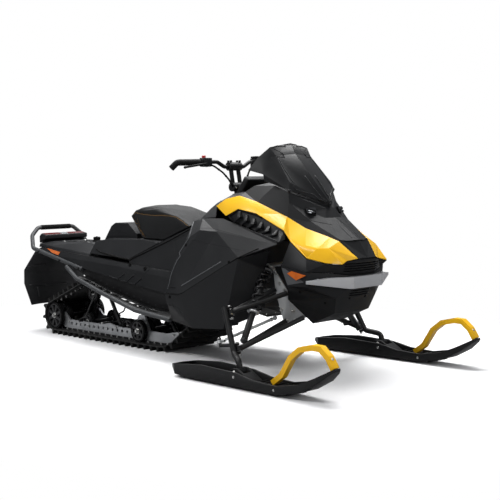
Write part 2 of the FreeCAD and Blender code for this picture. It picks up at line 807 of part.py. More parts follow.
# Hood: black centre panel between the yellow panels, with two pockets for the lamps.
hood_corners = {
    "c": (612, -207, 912), "d": (742, -207, 880.5), "e": (909, -197, 817.5), "f": (951, -197, 803.5),
    "g": (1058, -177, 746.5), "h": (nose_x - 129, -127, 700.5), "i": (nose_x - 87, -107, 680.5),
    "j": (nose_x - 2.5, -67, 599.5), "k": (592, -150, 935), "l": (661, -140, 967),
    "m": (830, -160, 965), "n": (935, -166, 930), "o": (1055, 0, 855), "q": (592, 0, 952),
    "r": (661, 0, 985), "s": (840, 0, 970), "t": (945, -178, 878), "u": (990, -118, 890),
    "v": (1062, -34, 842), "w": (1084, -62, 797), "x": (1062, -140, 780), "y": (1012, -112, 828),
    "R": (1098, 0, 796), "F": (nose_x - 53, 0, 687), "z": (nose_x - 77, -96, 684),
    "Z": (nose_x, 0, 600),
}
hood_facets = ["kcd", "kdl", "ldm", "mde", "men", "klrq", "lmsr", "mnos", "nut", "net", "etf", "nuo", "uvo"]
lamp_pocket = ["tuy", "uvy", "vwy", "wxy", "xty"]
hood_facets = hood_facets + lamp_pocket
hood_facets = hood_facets + ["vwRo", "ftx", "fxg", "gxh", "xzh", "hzi", "xwz", "wRFz", "izj", "zFZj"]
hood_corners, hood_facets = both_sides(hood_corners, hood_facets)
hood = facet_panel("hood_sheet", hood_corners, hood_facets, panel_wall, (900, 0, 600))
keep(hood, "hood")

# Console: shroud round the steering column, between the seat and the hood.
column_foot = (384, 0, 862)
column_head = (348, 0, 1075)
console_corners = {
    "p": (292, -204, 794), "x": (425, -214, 803), "s": (288, -168, 799), "t": (334, -165, 850),
    "u": (370, -148, 879), "v": (454, -100, 927), "e": (423, -203, 857), "f": (501, -203, 893),
    "k": (591.7, -150, 933), "c": (600, -203, 909), "q": (591.7, 0, 951), "w": (454, 0, 940),
    "y": (352, 0, 905), "z": (318, 0, 850), "o": (280, 0, 799),
}
console_facets = ["pst", "ptx", "xtu", "xue", "euf", "uvf", "fvk", "fkc", "vkqw", "uvwy", "tuyz", "stzo"]
collar_wall = 12
console_corners, console_facets = both_sides(console_corners, console_facets)
console_sheet = facet_panel("console_sheet", console_corners, console_facets, panel_wall, (450, 0, 600))
column_radius = size("column_radius", 19)
doc.recompute()
column_collar = rod("column_collar", (380.3, 0, 884), (373.2, 0, 926), column_radius + collar_wall)
column_bore = rod("column_bore", (392.1, 0, 814), column_head, column_radius + seat_gap)
console_whole = fuse("console_whole", [console_sheet, column_collar])
console = cut("console_cut", console_whole, fuse("console_tools", [column_bore, tank]))
keep(console, "console")

# Windshield: smoked sheet of flat facets with a forward lip and two side wings.
screen_corners = {
    "a": (811, -215, 988), "b": (736, -256, 1047), "c": (750, -200, 1110), "d": (779, -140, 1163),
    "e": (792, 0, 1186), "f": (813, -130, 1116), "g": (794, -148, 1111), "y": (801, -215, 1024),
    "i": (929, -154, 980), "j": (941, -170, 940), "k": (1066, 0, 868), "m": (826, 0, 1128),
}
screen_facets = ["kifm", "kji", "jyi", "ayj", "ygi", "igf", "ybc", "ycg", "gcd", "fgd", "fdem"]
screen_corners, screen_facets = both_sides(screen_corners, screen_facets)
screen = facet_panel("windshield_sheet", screen_corners, screen_facets, sheet_wall, (700, 0, 950))
stands = [rod("windshield_stand_front", (1060, 0, 870), (1053.5, 0, 853), 9)]
for side in (-1, 1):
    stands.append(rod(f"windshield_stand_{side}", (938, side * 167, 943), (934.3, side * 164, 928.3), 8))
screen = cut("windshield_cut", fuse("windshield_whole", [screen] + stands), hood)
keep(screen, "windshield")

# Headlamps: a small lens block in each pocket of the hood.
lamp_corners = {
    "a": (1024, -125, 818), "b": (1050, -121, 822), "c": (1052, -86, 824), "d": (1040, -86, 818),
    "e": (1010, -125, 846), "f": (1036, -121, 850), "g": (1040, -86, 850), "j": (1030, -84, 848),
}
lamp_facets = ["abcd", "efgj", "abfe", "bcgf", "cdjg", "daej"]
lamp_block = shape_feature("head_lamp_block", facet_block(lamp_corners, lamp_facets))
head_lamp = cut("head_lamp_cut", lamp_block, hood)
keep(compound("head_lamp_pair", [head_lamp, mirror(head_lamp, "head_lamp_mirror")]), "headlights")

# Side vents: dark insert with claw-shaped louvres between the yellow and side panels.
vent_corners = {
    "a": (548, -233, 808), "b": (633, -235, 843), "c": (771, -235, 819), "d": (984, -254, 738),
    "e": (1002, -266, 700), "f": (985, -296, 684), "g": (760, -262, 745), "h": (560, -232, 792),
}
vent_facets = ["abh", "bgh", "bcg", "cdg", "dfg", "def"]
vent = facet_panel("vent_sheet", vent_corners, vent_facets, panel_wall, (750, 0, 600))
vent_count = size("vent_count", 6)
doc.recompute()
vent_top = [Vector(648, -240, 836), Vector(935, -250, 744)]
vent_knee = [Vector(664, -256, 806), Vector(942, -280, 720)]
vent_foot = [Vector(612, -254, 776), Vector(905, -284, 704)]
blade_sizes = [(16, 14), (24, 20), (8, 8)]


def vent_blade(share):
    """Claw-shaped louvre: a flat blade that swells at its knee and ends in a narrow foot."""
    sections = []
    for (first, final), (long, deep) in zip((vent_top, vent_knee, vent_foot), blade_sizes):
        middle = first + (final - first) * share
        corners = [middle + Vector(side_x * long / 2, side_y * deep / 2, 0)
                   for side_x, side_y in ((-1, -1), (1, -1), (1, 1), (-1, 1))]
        sections.append(Part.makePolygon(corners + corners[:1]))
    return Part.makeLoft(sections, True, True)


blades = [vent_blade(index / (float(vent_count) - 1)) for index in range(int(float(vent_count)))]
fins = shape_feature("vent_fins", Part.makeCompound(blades))
vent_whole = fuse("vent_whole", [vent, fins])
vent_whole = cut("vent_cut", vent_whole, fuse("vent_tools", [gold, side_panel]))
keep(compound("vent_pair", [vent_whole, mirror(vent_whole, "vent_mirror")]), "side_vents")

# Nose: fascia under the yellow panels, with a row of slots as its air grille.
nose_corners = {
    "a": (1040, -272, 686), "b": (nose_x - 157, -272, 606), "c": (nose_x - 79, -221, 581),
    "d": (nose_x - 18, -171, 574), "e": (nose_x - 30, -120, 587), "f": (nose_x - 4, -70, 594),
    "F": (nose_x - 1, 0, 595), "g": (1012, -312, 570), "i": (nose_x - 140, -292, 545),
    "j": (nose_x - 90, -204, 538), "k": (nose_x - 41, -100, 523), "K": (nose_x - 29, 0, 521),
}
nose_facets = ["abg", "big", "bci", "cji", "cdj", "dej", "ekj", "efk", "fFKk"]
nose_corners, nose_facets = both_sides(nose_corners, nose_facets)
nose_sheet = facet_panel("nose_sheet", nose_corners, nose_facets, panel_wall, (1100, 0, 600))
slot_high = size("slot_high", 6)
slot_pitch = size("slot_pitch", 12)
slot_count = size("slot_count", 4)
slot_wide = size("slot_wide", 250)
doc.recompute()


def slot_row(name, wide, low, count):
    """Cutters for a row of level slots through the front of the bodywork, one above another."""
    cutters = []
    for index in range(int(float(count))):
        corner = point(nose_x - slot_deep, -wide / 2, low + index * slot_pitch)
        cutters.append(Part.makeBox(slot_deep * 2, float(wide), float(slot_high), corner))
    return shape_feature(name, Part.makeCompound(cutters))


slot_deep = 123
slot_low = size("slot_low", 536)
doc.recompute()
nose_slots = slot_row("nose_slots", slot_wide, slot_low, slot_count)
nose = cut("nose_cut", nose_sheet, fuse("nose_tools", [nose_slots, gold, mirror(gold, "gold_tool")]))
keep(nose, "nose")

# Bottom pan: front skirt and belly under the nose.
pan_corners = {
    "a": (1012, -312, 570 - seam_gap), "b": (nose_x - 140, -292, 545 - seam_gap),
    "c": (nose_x - 90, -204, 538 - seam_gap), "d": (nose_x - 41, -100, 523 - seam_gap),
    "D": (nose_x - 29, 0, 521 - seam_gap), "e": (1050, -308, 472), "f": (nose_x - 138, -280, 470),
    "g": (nose_x - 41, -105, 456), "G": (nose_x - 35, 0, 453), "i": (1045, -298, 403),
    "j": (nose_x - 78, -150, 405), "J": (nose_x - 63, 0, 402), "k": (nose_x - 107, -130, 330),
    "K": (nose_x - 101, 0, 326), "l": (1045, -125, 266), "L": (1045, 0, 266),
}
pan_facets = ["abfe", "bcf", "cgf", "cdg", "dDGg", "efji", "fgj", "gGJj", "ijk", "jJKk", "ikl", "kKLl"]
pan_corners, pan_facets = both_sides(pan_corners, pan_facets)
pan_sheet = facet_panel("bottom_pan_sheet", pan_corners, pan_facets, panel_wall, (1100, 0, 450))
pan_slot_wide = size("pan_slot_wide", 150)
pan_slot_count = size("pan_slot_count", 3)
pan_slot_low = size("pan_slot_low", 412)
doc.recompute()
pan_slots = slot_row("pan_slots", pan_slot_wide, pan_slot_low, pan_slot_count)
pan = cut("bottom_pan_cut", pan_sheet, pan_slots)
keep(pan, "bottom_pan")

# Front bumper: light grey moulded bar in three straight runs.
bumper_side = [(1, 104), (113, 302), (143, 292), (137, 281.5), (40, 106)]
bumper_plan = [(nose_x - back, -y) for back, y in bumper_side] + [(nose_x - 33, 0)]
bumper_plan = bumper_plan + [(nose_x - back, y) for back, y in reversed(bumper_side)]
bumper_face = [(-304, 500), (-200, 512), (200, 512), (304, 500), (304, 488), (120, 456), (-120, 456),
               (-304, 488)]
bar_plan = pad("front_bumper_plan", "XY_Plane", bumper_plan, 2000)
bar_face = pad("front_bumper_face", "YZ_Plane", bumper_face, 4000)
front_bumper = cut("front_bumper_cut", common("front_bumper_bar", bar_plan, bar_face), pan)
keep(front_bumper, "front_bumper")

# Reflectors: amber lens on each corner of the pan and each rear end of the side covers.
lens_thick = size("lens_thick", 3)
doc.recompute()
lens_front = {
    "a": (1052, -310, 535), "b": (1078, -306.4, 546), "c": (1163, -295.2, 528),
    "d": (1105.5, -303.2, 503),
}
lens_rear = {
    "a": (-1318, -211.5, 584), "b": (-1148, -215.2, 563), "c": (-1161, -222.9, 542.7),
    "d": (-1240, -220, 556),
}
lenses = [facet_panel("front_lens", lens_front, ["abcd"], lens_thick + 2, (1100, 0, 500)),
          facet_panel("rear_lens", lens_rear, ["abd", "bcd"], lens_thick, (-1200, 0, 300))]
lens_right = cut("lens_cut", compound("lens_right", lenses), fuse("lens_tools", [pan, cover, tunnel]))
keep(compound("lens_all", [lens_right, mirror(lens_right, "lens_left")]), "reflectors")

# Bulkhead: aluminium side plates joined by cross tubes; the arms and dampers bolt to it.
plate_corners = {
    "a": (850, -205, 548), "b": (962, -214, 425), "c": (1072, -150, 315), "d": (930, -160, 266),
    "e": (874, -163, 266), "f": (862, -205, 430),
}
plate_wall = size("plate_wall", 6)
doc.recompute()
plate_facets = ["abf", "bef", "bde", "bcd"]
bulk_plate = facet_panel("bulkhead_plate", plate_corners, plate_facets, plate_wall, (900, 0, 400))
cross_spots = [(806, 556, 400), (950, 420, 426), (1040, 318, 300), (895, 284, 326)]
cross_tubes = [across(f"bulkhead_tube{index}", x, z, 11, wide)
               for index, (x, z, wide) in enumerate(cross_spots)]
tower = rod("bulkhead_tower", (855, -205, 540), (806, -195, 556), 9)
bay_rail = rod("bay_rail", (862, -205, 430), (tunnel_front_x + 0.4, -204.5, 420), 9)
pan_bracket = rod("pan_bracket", (1040, -100, 318), (1050, -100, 271), 8)
bulkhead_half = [bulk_plate, tower, bay_rail, pan_bracket]
bulkhead_left = [mirror(piece, piece.Name + "_left") for piece in bulkhead_half]
bulkhead_whole = fuse("bulkhead_frame", bulkhead_half + bulkhead_left + cross_tubes)
bulkhead = cut("bulkhead_cut", bulkhead_whole, pan)
keep(bulkhead, "bulkhead")

# Engine: one plain block in the bay, between the tunnel and the bulkhead.
engine = doc.addObject("Part::Box", "engine_box")
engine_long = size("engine_long", 430)
engine_wide = size("engine_wide", 360)
engine_high = size("engine_high", 340)
doc.recompute()
bind(engine, Length=engine_long, Width=engine_wide, Height=engine_high)
place(engine, tunnel_front_x + seat_gap, -engine_wide / 2, 330)
keep(engine, "engine_block")

# Steering axis of the right spindle, through its two ball joints.
ball_low = point(ball_low_x, -ball_low_y, ball_low_z)
ball_top = point(ball_top_x, -ball_top_y, ball_top_z)
steer_axis = (ball_top - ball_low).normalize()
steer_fore = (Vector(1, 0, 0) - steer_axis * steer_axis.x).normalize()
steer_out = steer_fore.cross(steer_axis)


def bar_between(start, end, radius):
    """Round bar between two vectors."""
    run = end - start
    return Part.makeCylinder(float(radius), run.Length, start, run)


def along_axis(centre, radius, high):
    """Cylinder on a line parallel to the steering axis, centred on a point."""
    base = centre - steer_axis * (float(high) / 2)
    return Part.makeCylinder(float(radius), float(high), base, steer_axis)


# Control arms: an upper and a lower A-arm of tube on each side, each ending in a round eye.
def a_arm(ball, front, rear, gusset):
    """Two tubes from an eye to their pivots, with a gusset plate over a share of their length."""
    front, rear = point(*front), point(*rear)
    eye = along_axis(ball, eye_radius, eye_high)
    corners = [ball, ball + (front - ball) * gusset, ball + (rear - ball) * gusset]
    plate = Part.Face(Part.makePolygon(corners + corners[:1]))
    lift = (front - ball).cross(rear - ball).normalize() * float(gusset_thick)
    plate.translate(-lift / 2)
    bars = [bar_between(ball, end, arm_radius) for end in (front, rear)]
    arm = eye.fuse(bars + [plate.extrude(lift)])
    return arm.cut(along_axis(ball, float(pin_radius) + bore_play, 200))


gusset_thick = size("gusset_thick", 10)
bore_play = 0.5
doc.recompute()
arms = [a_arm(ball_low, (1022, -166, 300), (895, -166, 272), 0.42),
        a_arm(ball_top, (960, -217, 424), (864, -208, 436), 0.3)]
arms = cut("control_arm_cut", shape_feature("control_arm_pair", Part.makeCompound(arms)), bulkhead)
pair(arms, "control_arms")


# Dampers: a rod and body with a coil spring round them.
turn_profile = [(0.78, 0.08), (1, 0.3), (1, 0.6), (0.78, 0.85)]
rod_share = 0.6


def damper(start, end, body_radius, coil_radius, turns, coil_from, coil_to):
    """Damper along a line; the coil is a turned bellows of rounded turns."""
    start, end = point(*start), point(*end)
    run = end - start
    length = run.Length
    profile = [Vector(0, 0, 0), Vector(body_radius, 0, 0), Vector(body_radius, 0, length * coil_from)]
    step = length * (coil_to - coil_from) / turns
    for turn in range(turns):
        level = length * coil_from + turn * step
        for out, share in turn_profile:
            profile.append(Vector(coil_radius * out, 0, level + step * share))
    profile.append(Vector(body_radius * rod_share, 0, length * coil_to))
    profile.append(Vector(body_radius * rod_share, 0, length))
    profile.append(Vector(0, 0, length))
    face = Part.Face(Part.makePolygon(profile + profile[:1]))
    solid = face.revolve(Vector(0, 0, 0), Vector(0, 0, 1), 360)
    solid.Placement = FreeCAD.Placement(start, FreeCAD.Rotation(Vector(0, 0, 1), run))
    return solid


damper_body_radius, damper_coil_radius, damper_turns = 17, 30, 8
front_damper = shape_feature("front_damper", damper(damper_foot, damper_head, damper_body_radius,
                                                    damper_coil_radius, damper_turns, 0.36, 0.95))
front_damper = cut("front_damper_cut", front_damper, fuse("front_damper_tools", [arms, bulkhead]))
pair(front_damper, "front_shock")

# Skid rails: two aluminium beams with lightening holes, joined by cross tubes, on sliders.
slider_z = run_z
rail_z = slider_z + slider_high
rail_low = []
bend_steps = 6
bend_turn = 50
rail_tail = size("rail_tail", 24)
slider_share = 1.7
slider_play = 0.5
doc.recompute()
for index in range(bend_steps + 1):
    angle = math.radians(bend_turn * index / bend_steps)
    reach = bend_radius - slider_high
    rail_low.append((bend_x + reach * math.sin(angle), slider_z + bend_radius - reach * math.cos(angle)))
rail_top = [(30, slider_z + 98), (-75, slider_z + 82), (-140, slider_z + 70), (-290, slider_z + 72),
            (-345, slider_z + 168), (-400, slider_z + 162), (-450, rail_z + rail_high),
            (-640, rail_z + rail_high), (-720, rail_z + rail_high + 14), (-790, rail_z + rail_high),
            (-1174, rail_z + rail_high), (-1230, run_z + rear_wheel_radius + rail_tail),
            (rear_wheel_x - rail_tail, run_z + rear_wheel_radius + rail_tail),
            (rear_wheel_x - rail_tail, run_z + rear_wheel_radius - rail_tail), (-1235, rail_z)]
rail = pad("rail_beam", "XZ_Plane", rail_low + rail_top, rail_thick)
hole_radius = size("rail_hole_radius", 10)
hole_pitch = size("rail_hole_pitch", 52)
hole_count = size("rail_hole_count", 13)
doc.recompute()
first_spot = (-1150, rail_z + rail_high / 2 + 4)
first_hole = round_pocket(rail, "rail_hole", "XZ_Plane", first_spot, hole_radius, rail_thick * 2)
doc.recompute()
row_of(rail, first_hole, "rail_hole_row", "H_Axis", hole_pitch * (hole_count - 1), float(hole_count))
place(rail, 0, -rail_y, 0)
slider_low = []
for index in range(bend_steps + 1):
    angle = math.radians(bend_turn * index / bend_steps)
    reach = bend_radius - slider_play
    slider_low.append((bend_x + reach * math.sin(angle), slider_z + bend_radius - reach * math.cos(angle)))
slider_line = slider_low + list(reversed(rail_low)) + [(-1215, rail_z), (-1215, slider_z + slider_play)]
slider = pad("rail_slider", "XZ_Plane", slider_line, rail_thick * slider_share)
place(slider, 0, -rail_y, 0)
rail_set = [rail, slider, mirror(rail, "rail_beam_left"), mirror(slider, "rail_slider_left")]
rail_cross = [(-60, 104), (mid_wheel_x, run_z + mid_wheel_radius), (-640, 98), (-950, 80)]
for index, (x, z) in enumerate(rail_cross):
    rail_set.append(across(f"rail_cross{index}", x, z, axle_radius, rail_y * 2))
rail_frame = fuse("rail_frame", rail_set)


# Wheels: spoked idlers cut from a disc; the hub turns on its axle.
hub_wall, rim_wall = 6, 16


def wheel(name, radius, windows, hub):
    """Disc with a ring of window cut-outs between the hub and the rim."""
    disc = doc.addObject("PartDesign::Body", name)
    sketch = sketch_on(disc, name + "_outline", "XZ_Plane")
    add_circle(sketch, 0, 0, radius)
    made = disc.newObject("PartDesign::Pad", name + "_disc")
    made.Profile = sketch
    made.Midplane = True
    bind(made, Length=wheel_width)
    inner, outer = float(hub) + hub_wall, float(radius) - rim_wall
    wide = math.pi / windows * 0.62
    narrow = wide * 0.6
    window = [(reach * math.cos(turn), reach * math.sin(turn))
              for reach, turn in ((inner, -narrow), (outer, -wide), (outer, wide), (inner, narrow))]
    doc.recompute()
    first = pocket(disc, name + "_window", "XZ_Plane", window, wheel_width * 2)
    doc.recompute()
    ring_of(disc, first, name + "_windows", "Y_Axis", windows)
    return disc


def wheel_at(name, source, x, y, z):
    """Another wheel of the same make, at its own place."""
    made = doc.addObject("Part::Compound", name)
    made.Links = [source]
    return place(made, x, y, z)


rear_wheel_z = run_z + rear_wheel_radius
inner_idler_x = size("inner_idler_x", -560)
doc.recompute()
slider_half = rail_thick * slider_share / 2
outer_wheel_y = rail_y + slider_half + wheel_width / 2 + 4
inner_wheel_y = rail_y - slider_half - wheel_width / 2 - 14
big_wheel = wheel("rear_idler_disc", rear_wheel_radius - belt_clear, 8, 26)
mid_wheel = wheel("mid_idler_disc", mid_wheel_radius - belt_clear, 6, 24)
small_wheel = wheel("carrier_disc", carrier_radius - belt_clear, 5, 20)
rear_idler_x = size("rear_idler_x", -1010)
doc.recompute()
wheel_spots = [(big_wheel, rear_wheel_x, outer_wheel_y, rear_wheel_z),
               (big_wheel, rear_wheel_x, inner_wheel_y, rear_wheel_z),
               (mid_wheel, mid_wheel_x, outer_wheel_y, run_z + mid_wheel_radius),
               (mid_wheel, mid_wheel_x, inner_wheel_y, run_z + mid_wheel_radius),
               (small_wheel, carrier_x, inner_wheel_y, carrier_z),
               (small_wheel, rear_idler_x, inner_wheel_y, run_z + carrier_radius),
               (small_wheel, inner_idler_x, inner_wheel_y, run_z + carrier_radius)]
wheel_set = []
for index, (source, x, y, z) in enumerate(wheel_spots):
    for side, mark in ((-1, "right"), (1, "left")):
        wheel_set.append(wheel_at(f"idler_{index}_{mark}", source, x, y * side, z))
wide_axle = (outer_wheel_y + wheel_width / 2) * 2 + 6
axle_spots = [(rear_wheel_x, rear_wheel_z, wide_axle),
              (mid_wheel_x, run_z + mid_wheel_radius, wide_axle),
              (inner_idler_x, run_z + carrier_radius, rail_y * 2),
              (rear_idler_x, run_z + carrier_radius, rail_y * 2)]
for index, (x, z, wide) in enumerate(axle_spots):
    wheel_set.append(across(f"idler_axle{index}", x, z, axle_radius, wide))
wheel_set.append(across("carrier_axle", carrier_x, carrier_z, axle_radius, rail_y * 2))
idlers = cut("idler_cut", fuse("idler_fuse", wheel_set), rail_frame)

# Skid arms: front and rear swing arms with the shaft that each hangs from, and two dampers.
arm_set = []
front_foot, rear_foot = (-60, 104), (-640, 98)
front_shaft, rear_shaft = (-215, 325), (-790, 338)
carrier_spot = (float(carrier_x), float(carrier_z))
shaft_wide = tunnel_width - sheet_wall * 2 - seat_gap * 2
for index, (x, z) in enumerate((front_shaft, rear_shaft)):
    arm_set.append(across(f"skid_shaft{index}", x, z, axle_radius, shaft_wide))


def at_side(spot, y):
    """A spot of the skid's side view, at a side offset."""
    return spot[0], y, spot[1]


arm_bars = [("front_arm", front_foot, front_shaft, 112, 12), ("rear_arm", rear_foot, rear_shaft, 100, 12),
            ("carrier_arm", rear_shaft, carrier_spot, 84, 8)]
for side in (-1, 1):
    for name, low_spot, high_spot, y, radius in arm_bars:
        ends = [at_side(spot, side * y) for spot in (low_spot, high_spot)]
        arm_set.append(rod(f"{name}_{side}", ends[0], ends[1], radius))
arm_set.append(shape_feature("front_skid_damper", damper(
    at_side(front_foot, 0), at_side(front_shaft, 0), 16, 30, 6, 0.35, 0.88)))
arm_set.append(shape_feature("rear_skid_damper", damper(
    at_side(rear_foot, 0), at_side(front_shaft, 0), 19, 34, 7, 0.42, 0.9)))
skid_arms = cut("skid_arm_cut", fuse("skid_arm_fuse", arm_set), fuse("skid_tools", [rail_frame, idlers]))
keep(rail_frame, "skid_rails")
keep(idlers, "idler_wheels")
keep(skid_arms, "skid_arms")

# Drive axle: hexagonal shaft in the tunnel with two sprockets that drive the track.
sprocket_width = size("sprocket_width", 40)
sprocket_y = size("sprocket_y", 88)
shaft_radius = size("shaft_radius", 16)
doc.recompute()
sprockets = [across(f"sprocket{index}", sprocket_x, sprocket_z, sprocket_radius - belt_clear, sprocket_width,
                    side * sprocket_y)
             for index, side in enumerate((-1, 1))]
drive_shaft = across("drive_shaft", sprocket_x, sprocket_z, shaft_radius, shaft_wide)
keep(fuse("drive_axle_fuse", sprockets + [drive_shaft]), "drive_axle")

# Handlebar: raked column with a bent bar, grips with hooked ends, levers and switches.
bar_half = [(262, -380, 1071), (290, -362, 1101), (343, -122, 1103), (345, -72, 1076)]
bar_points = bar_half + [(x, -y, z) for x, y, z in reversed(bar_half)]
bar_bend = 30
bar = tube("bar_tube", bar_points, bar_radius, bar_bend)
riser_z = size("riser_z", 975)
riser_y = size("riser_y", 27)
riser_radius = size("riser_radius", 12)
doc.recompute()


def column_point(y, z):
    """Point beside the steering column at a height, in the column's raked plane."""
    return slope(z, column_foot[2], column_foot[0], column_head[2], column_head[0]), y, z


riser_level = float(riser_z)
foot_level = riser_level - 12
foot_half, foot_radius = 40, 25
clamp_half, clamp_radius = 45, 24
column = rod("steering_column", column_foot, column_point(0, riser_level), column_radius)
foot_ends = [column_point(side * foot_half, foot_level) for side in (-1, 1)]
riser_foot = rod("riser_foot", foot_ends[0], foot_ends[1], foot_radius)
posts = []
for side in (-1, 1):
    post_y = side * float(riser_y)
    posts.append(rod(f"riser_post{side}", column_point(post_y, foot_level),
                     column_point(post_y, column_head[2]), riser_radius))
clamp = rod("bar_clamp", (348, -clamp_half, 1078), (348, clamp_half, 1078), clamp_radius)
grip_low = point(263, -379, 1072)
grip_bend = point(290, -362, 1101)
grip_end = point(322, -215, 1102.2)
handlebar = fuse("handlebar_fuse", [bar, column, riser_foot, clamp] + posts)
keep(handlebar, "handlebar")
grip_cap = 2
grip_hook = grip_low - (grip_bend - grip_low).normalize() * grip_cap
grip_shape = tube_shape([grip_hook, grip_bend, grip_end], grip_radius, 20)
control_box = Part.makeBox(44, 52, 46, Vector(306, -216, 1078))
lever_radius = size("lever_radius", 6)
lever = tube_shape([(338, -190, 1096), (352, -215, 1092), (330, -340, 1074)], lever_radius, 12)
stop_knob = Part.makeCylinder(10, 14, Vector(318, -196, 1124))

# Control cables: from each control box down the front of the riser to its foot.
cable_radius = size("cable_radius", 5)
doc.recompute()
cable_route = [(330, -170, 1092), (342, -140, 1078), (362, -98, 1044), (376, -66, 1004), (379, -50, 975),
               (373, -32, 958)]
cable_bend = 60
cable = tube_shape(cable_route, cable_radius, cable_bend)
grip = shape_feature("grip_right_solid", grip_shape.fuse([control_box, lever, stop_knob, cable]))
grip_left = shape_feature("grip_left_solid", grip_shape.mirror(Vector(), Vector(0, 1, 0)).fuse(
    [item.mirror(Vector(), Vector(0, 1, 0)) for item in (control_box, lever, cable)]))
grips = cut("grip_cut", compound("grip_pair", [grip, grip_left]), handlebar)
keep(grips, "hand_controls")

# Spindles: forged leg outboard of the arm eyes, with pins through them and an arm to the rear.
pivot = point(ski_pivot_x, -ski_stance / 2, ski_pivot_z)
leg_radius = size("leg_radius", 15)
leg_gap = size("leg_gap", 36)
boss_radius = size("boss_radius", 20)
boss_wide = size("boss_wide", 46)
doc.recompute()
leg_out = steer_out * float(leg_gap)
fork_gap = float(eye_high) / 2 + 9
leg_over = fork_gap + 4
fork_radius, arm_bar_radius, rod_pin_radius = 7, 9, 6
leg_top = ball_top + leg_out + steer_axis * leg_over
leg_low = ball_low + leg_out - steer_axis * leg_over
leg = tube_shape([leg_top, leg_low, pivot + Vector(-12, 0, 52), pivot], leg_radius, 30)
spindle_parts = []
for ball in (ball_top, ball_low):
    spindle_parts.append(along_axis(ball, pin_radius, fork_gap * 2 + 12))
    for side in (-1, 1):
        spot = ball + steer_axis * (side * fork_gap)
        spindle_parts.append(bar_between(spot, spot + leg_out, fork_radius))
steer_arm_foot = ball_low + leg_out + steer_axis * 20
rod_pin = point(722, -470, 184)
spindle_parts.append(bar_between(steer_arm_foot, rod_pin - steer_axis * 18, arm_bar_radius))
spindle_parts.append(along_axis(rod_pin - steer_axis * 3, rod_pin_radius, 34))
sideways = Vector(0, 1, 0)
boss_half = float(boss_wide) / 2
boss_foot = pivot - sideways * boss_half
spindle_parts.append(Part.makeCylinder(float(boss_radius), boss_half * 2, boss_foot, sideways))
pivot_bore = Part.makeCylinder(float(pin_radius) + bore_play, 200, pivot - sideways * 100, sideways)
spindle_shape = leg.fuse(spindle_parts).cut(pivot_bore)
spindle = shape_feature("spindle_forging", spindle_shape)
pair(spindle, "spindle")

# Tie rods: from the pin on each spindle arm inwards to the steering linkage.
rod_inner = point(800, -150, 278)
tie_radius = size("tie_radius", 8)
tie_eye_radius = size("tie_eye_radius", 13)
tie_ball_radius = size("tie_ball_radius", 12)
doc.recompute()
tie_eye = along_axis(rod_pin, tie_eye_radius, 16).fuse(bar_between(rod_pin, rod_inner, tie_radius))
tie_eye = tie_eye.cut(along_axis(rod_pin, rod_pin_radius + bore_play, 60))
tie = shape_feature("tie_rod_solid", tie_eye.fuse(Part.makeSphere(float(tie_ball_radius), rod_inner)))
pair(tie, "tie_rod")

# Skis: ribbed moulded runner with a keel, a saddle for the spindle and an upturned tip.
ski_side = [(467, 46), (520, 18), (640, keel_high), (1266, keel_high), (1400, 40), (1500, 92), (1572, 146),
            (1580, 152), (1574, 162), (1490, 118), (1390, 76), (1250, 52), (1100, 58), (980, 80), (726, 88),
            (560, 74), (470, 62)]
ski_y = ski_stance / 2
ski_body = pad("ski_side_form", "XZ_Plane", ski_side, ski_width)
half_ski = ski_width / 2
ski_edge = [(467, 0.55), (520, 1), (1380, 1), (1500, 0.86), (1560, 0.5), (1580, 0.2)]
ski_plan = [(x, -half_ski * share) for x, share in ski_edge]
ski_plan = ski_plan + [(x, half_ski * share) for x, share in reversed(ski_edge)]
ski_planform = pad("ski_plan_form", "XY_Plane", ski_plan, 1000)
ski_form = common("ski_form", ski_body, ski_planform)
ski_floor = keel_high + 8
channel_side = [(500, 58), (640, ski_floor), (1260, ski_floor), (1390, 56), (1480, 104), (1400, 300),
                (500, 300)]
ski_rim = size("ski_rim", 12)
rib_thick = size("rib_thick", 8)
doc.recompute()
channel = pad("ski_channel_form", "XZ_Plane", channel_side, ski_width - ski_rim * 2)
rib_half = float(half_ski) - float(ski_rim) + 2
rib_foot = float(keel_high) + 4
rib_rows = [(560, 40, 9, 34), (1075, 36, 6, 26)]
rib_set = []
for first_x, pitch, count, high in rib_rows:
    for index in range(count):
        corner = Vector(first_x + index * pitch, -rib_half, rib_foot)
        rib_set.append(Part.makeBox(float(rib_thick), rib_half * 2, high, corner))
ribs = shape_feature("ski_ribs", Part.makeCompound(rib_set))
keel_top = keel_high + 2
keel_side = [(560, keel_top), (600, 0), (1262, 0), (1380, 30), (1380, 38), (1260, keel_top)]
keel_wide = size("keel_wide", 16)
saddle_wide = size("saddle_wide", 76)
saddle_space = size("saddle_space", 52)
doc.recompute()
keel = pad("ski_keel", "XZ_Plane", keel_side, keel_wide)
saddle_side = [(905, keel_high + 6), (915, 84), (935, 92), (965, 92), (985, 84), (1060, keel_high + 30),
               (1075, keel_high + 6)]
saddle = pad("ski_saddle", "XZ_Plane", saddle_side, saddle_wide)
hollow_side = [(880, 30), (880, 200), (1010, 200), (1000, 60), (985, 44), (920, 44)]
saddle_hollow = pad("ski_saddle_hollow", "XZ_Plane", hollow_side, saddle_space)
ski_solid = cut("ski_shell", ski_form, channel)
ski_solid = fuse("ski_fuse", [ski_solid, ribs, keel, saddle])
ski_solid = cut("ski_open", ski_solid, saddle_hollow)
ski_bolt = across("ski_bolt", ski_pivot_x, ski_pivot_z, pin_radius, saddle_wide + 8)
ski_whole = fuse("ski_whole", [ski_solid, ski_bolt])
ski = place(compound("ski_right_placed", [ski_whole]), 0, -ski_y, 0)
pair(ski, "ski")


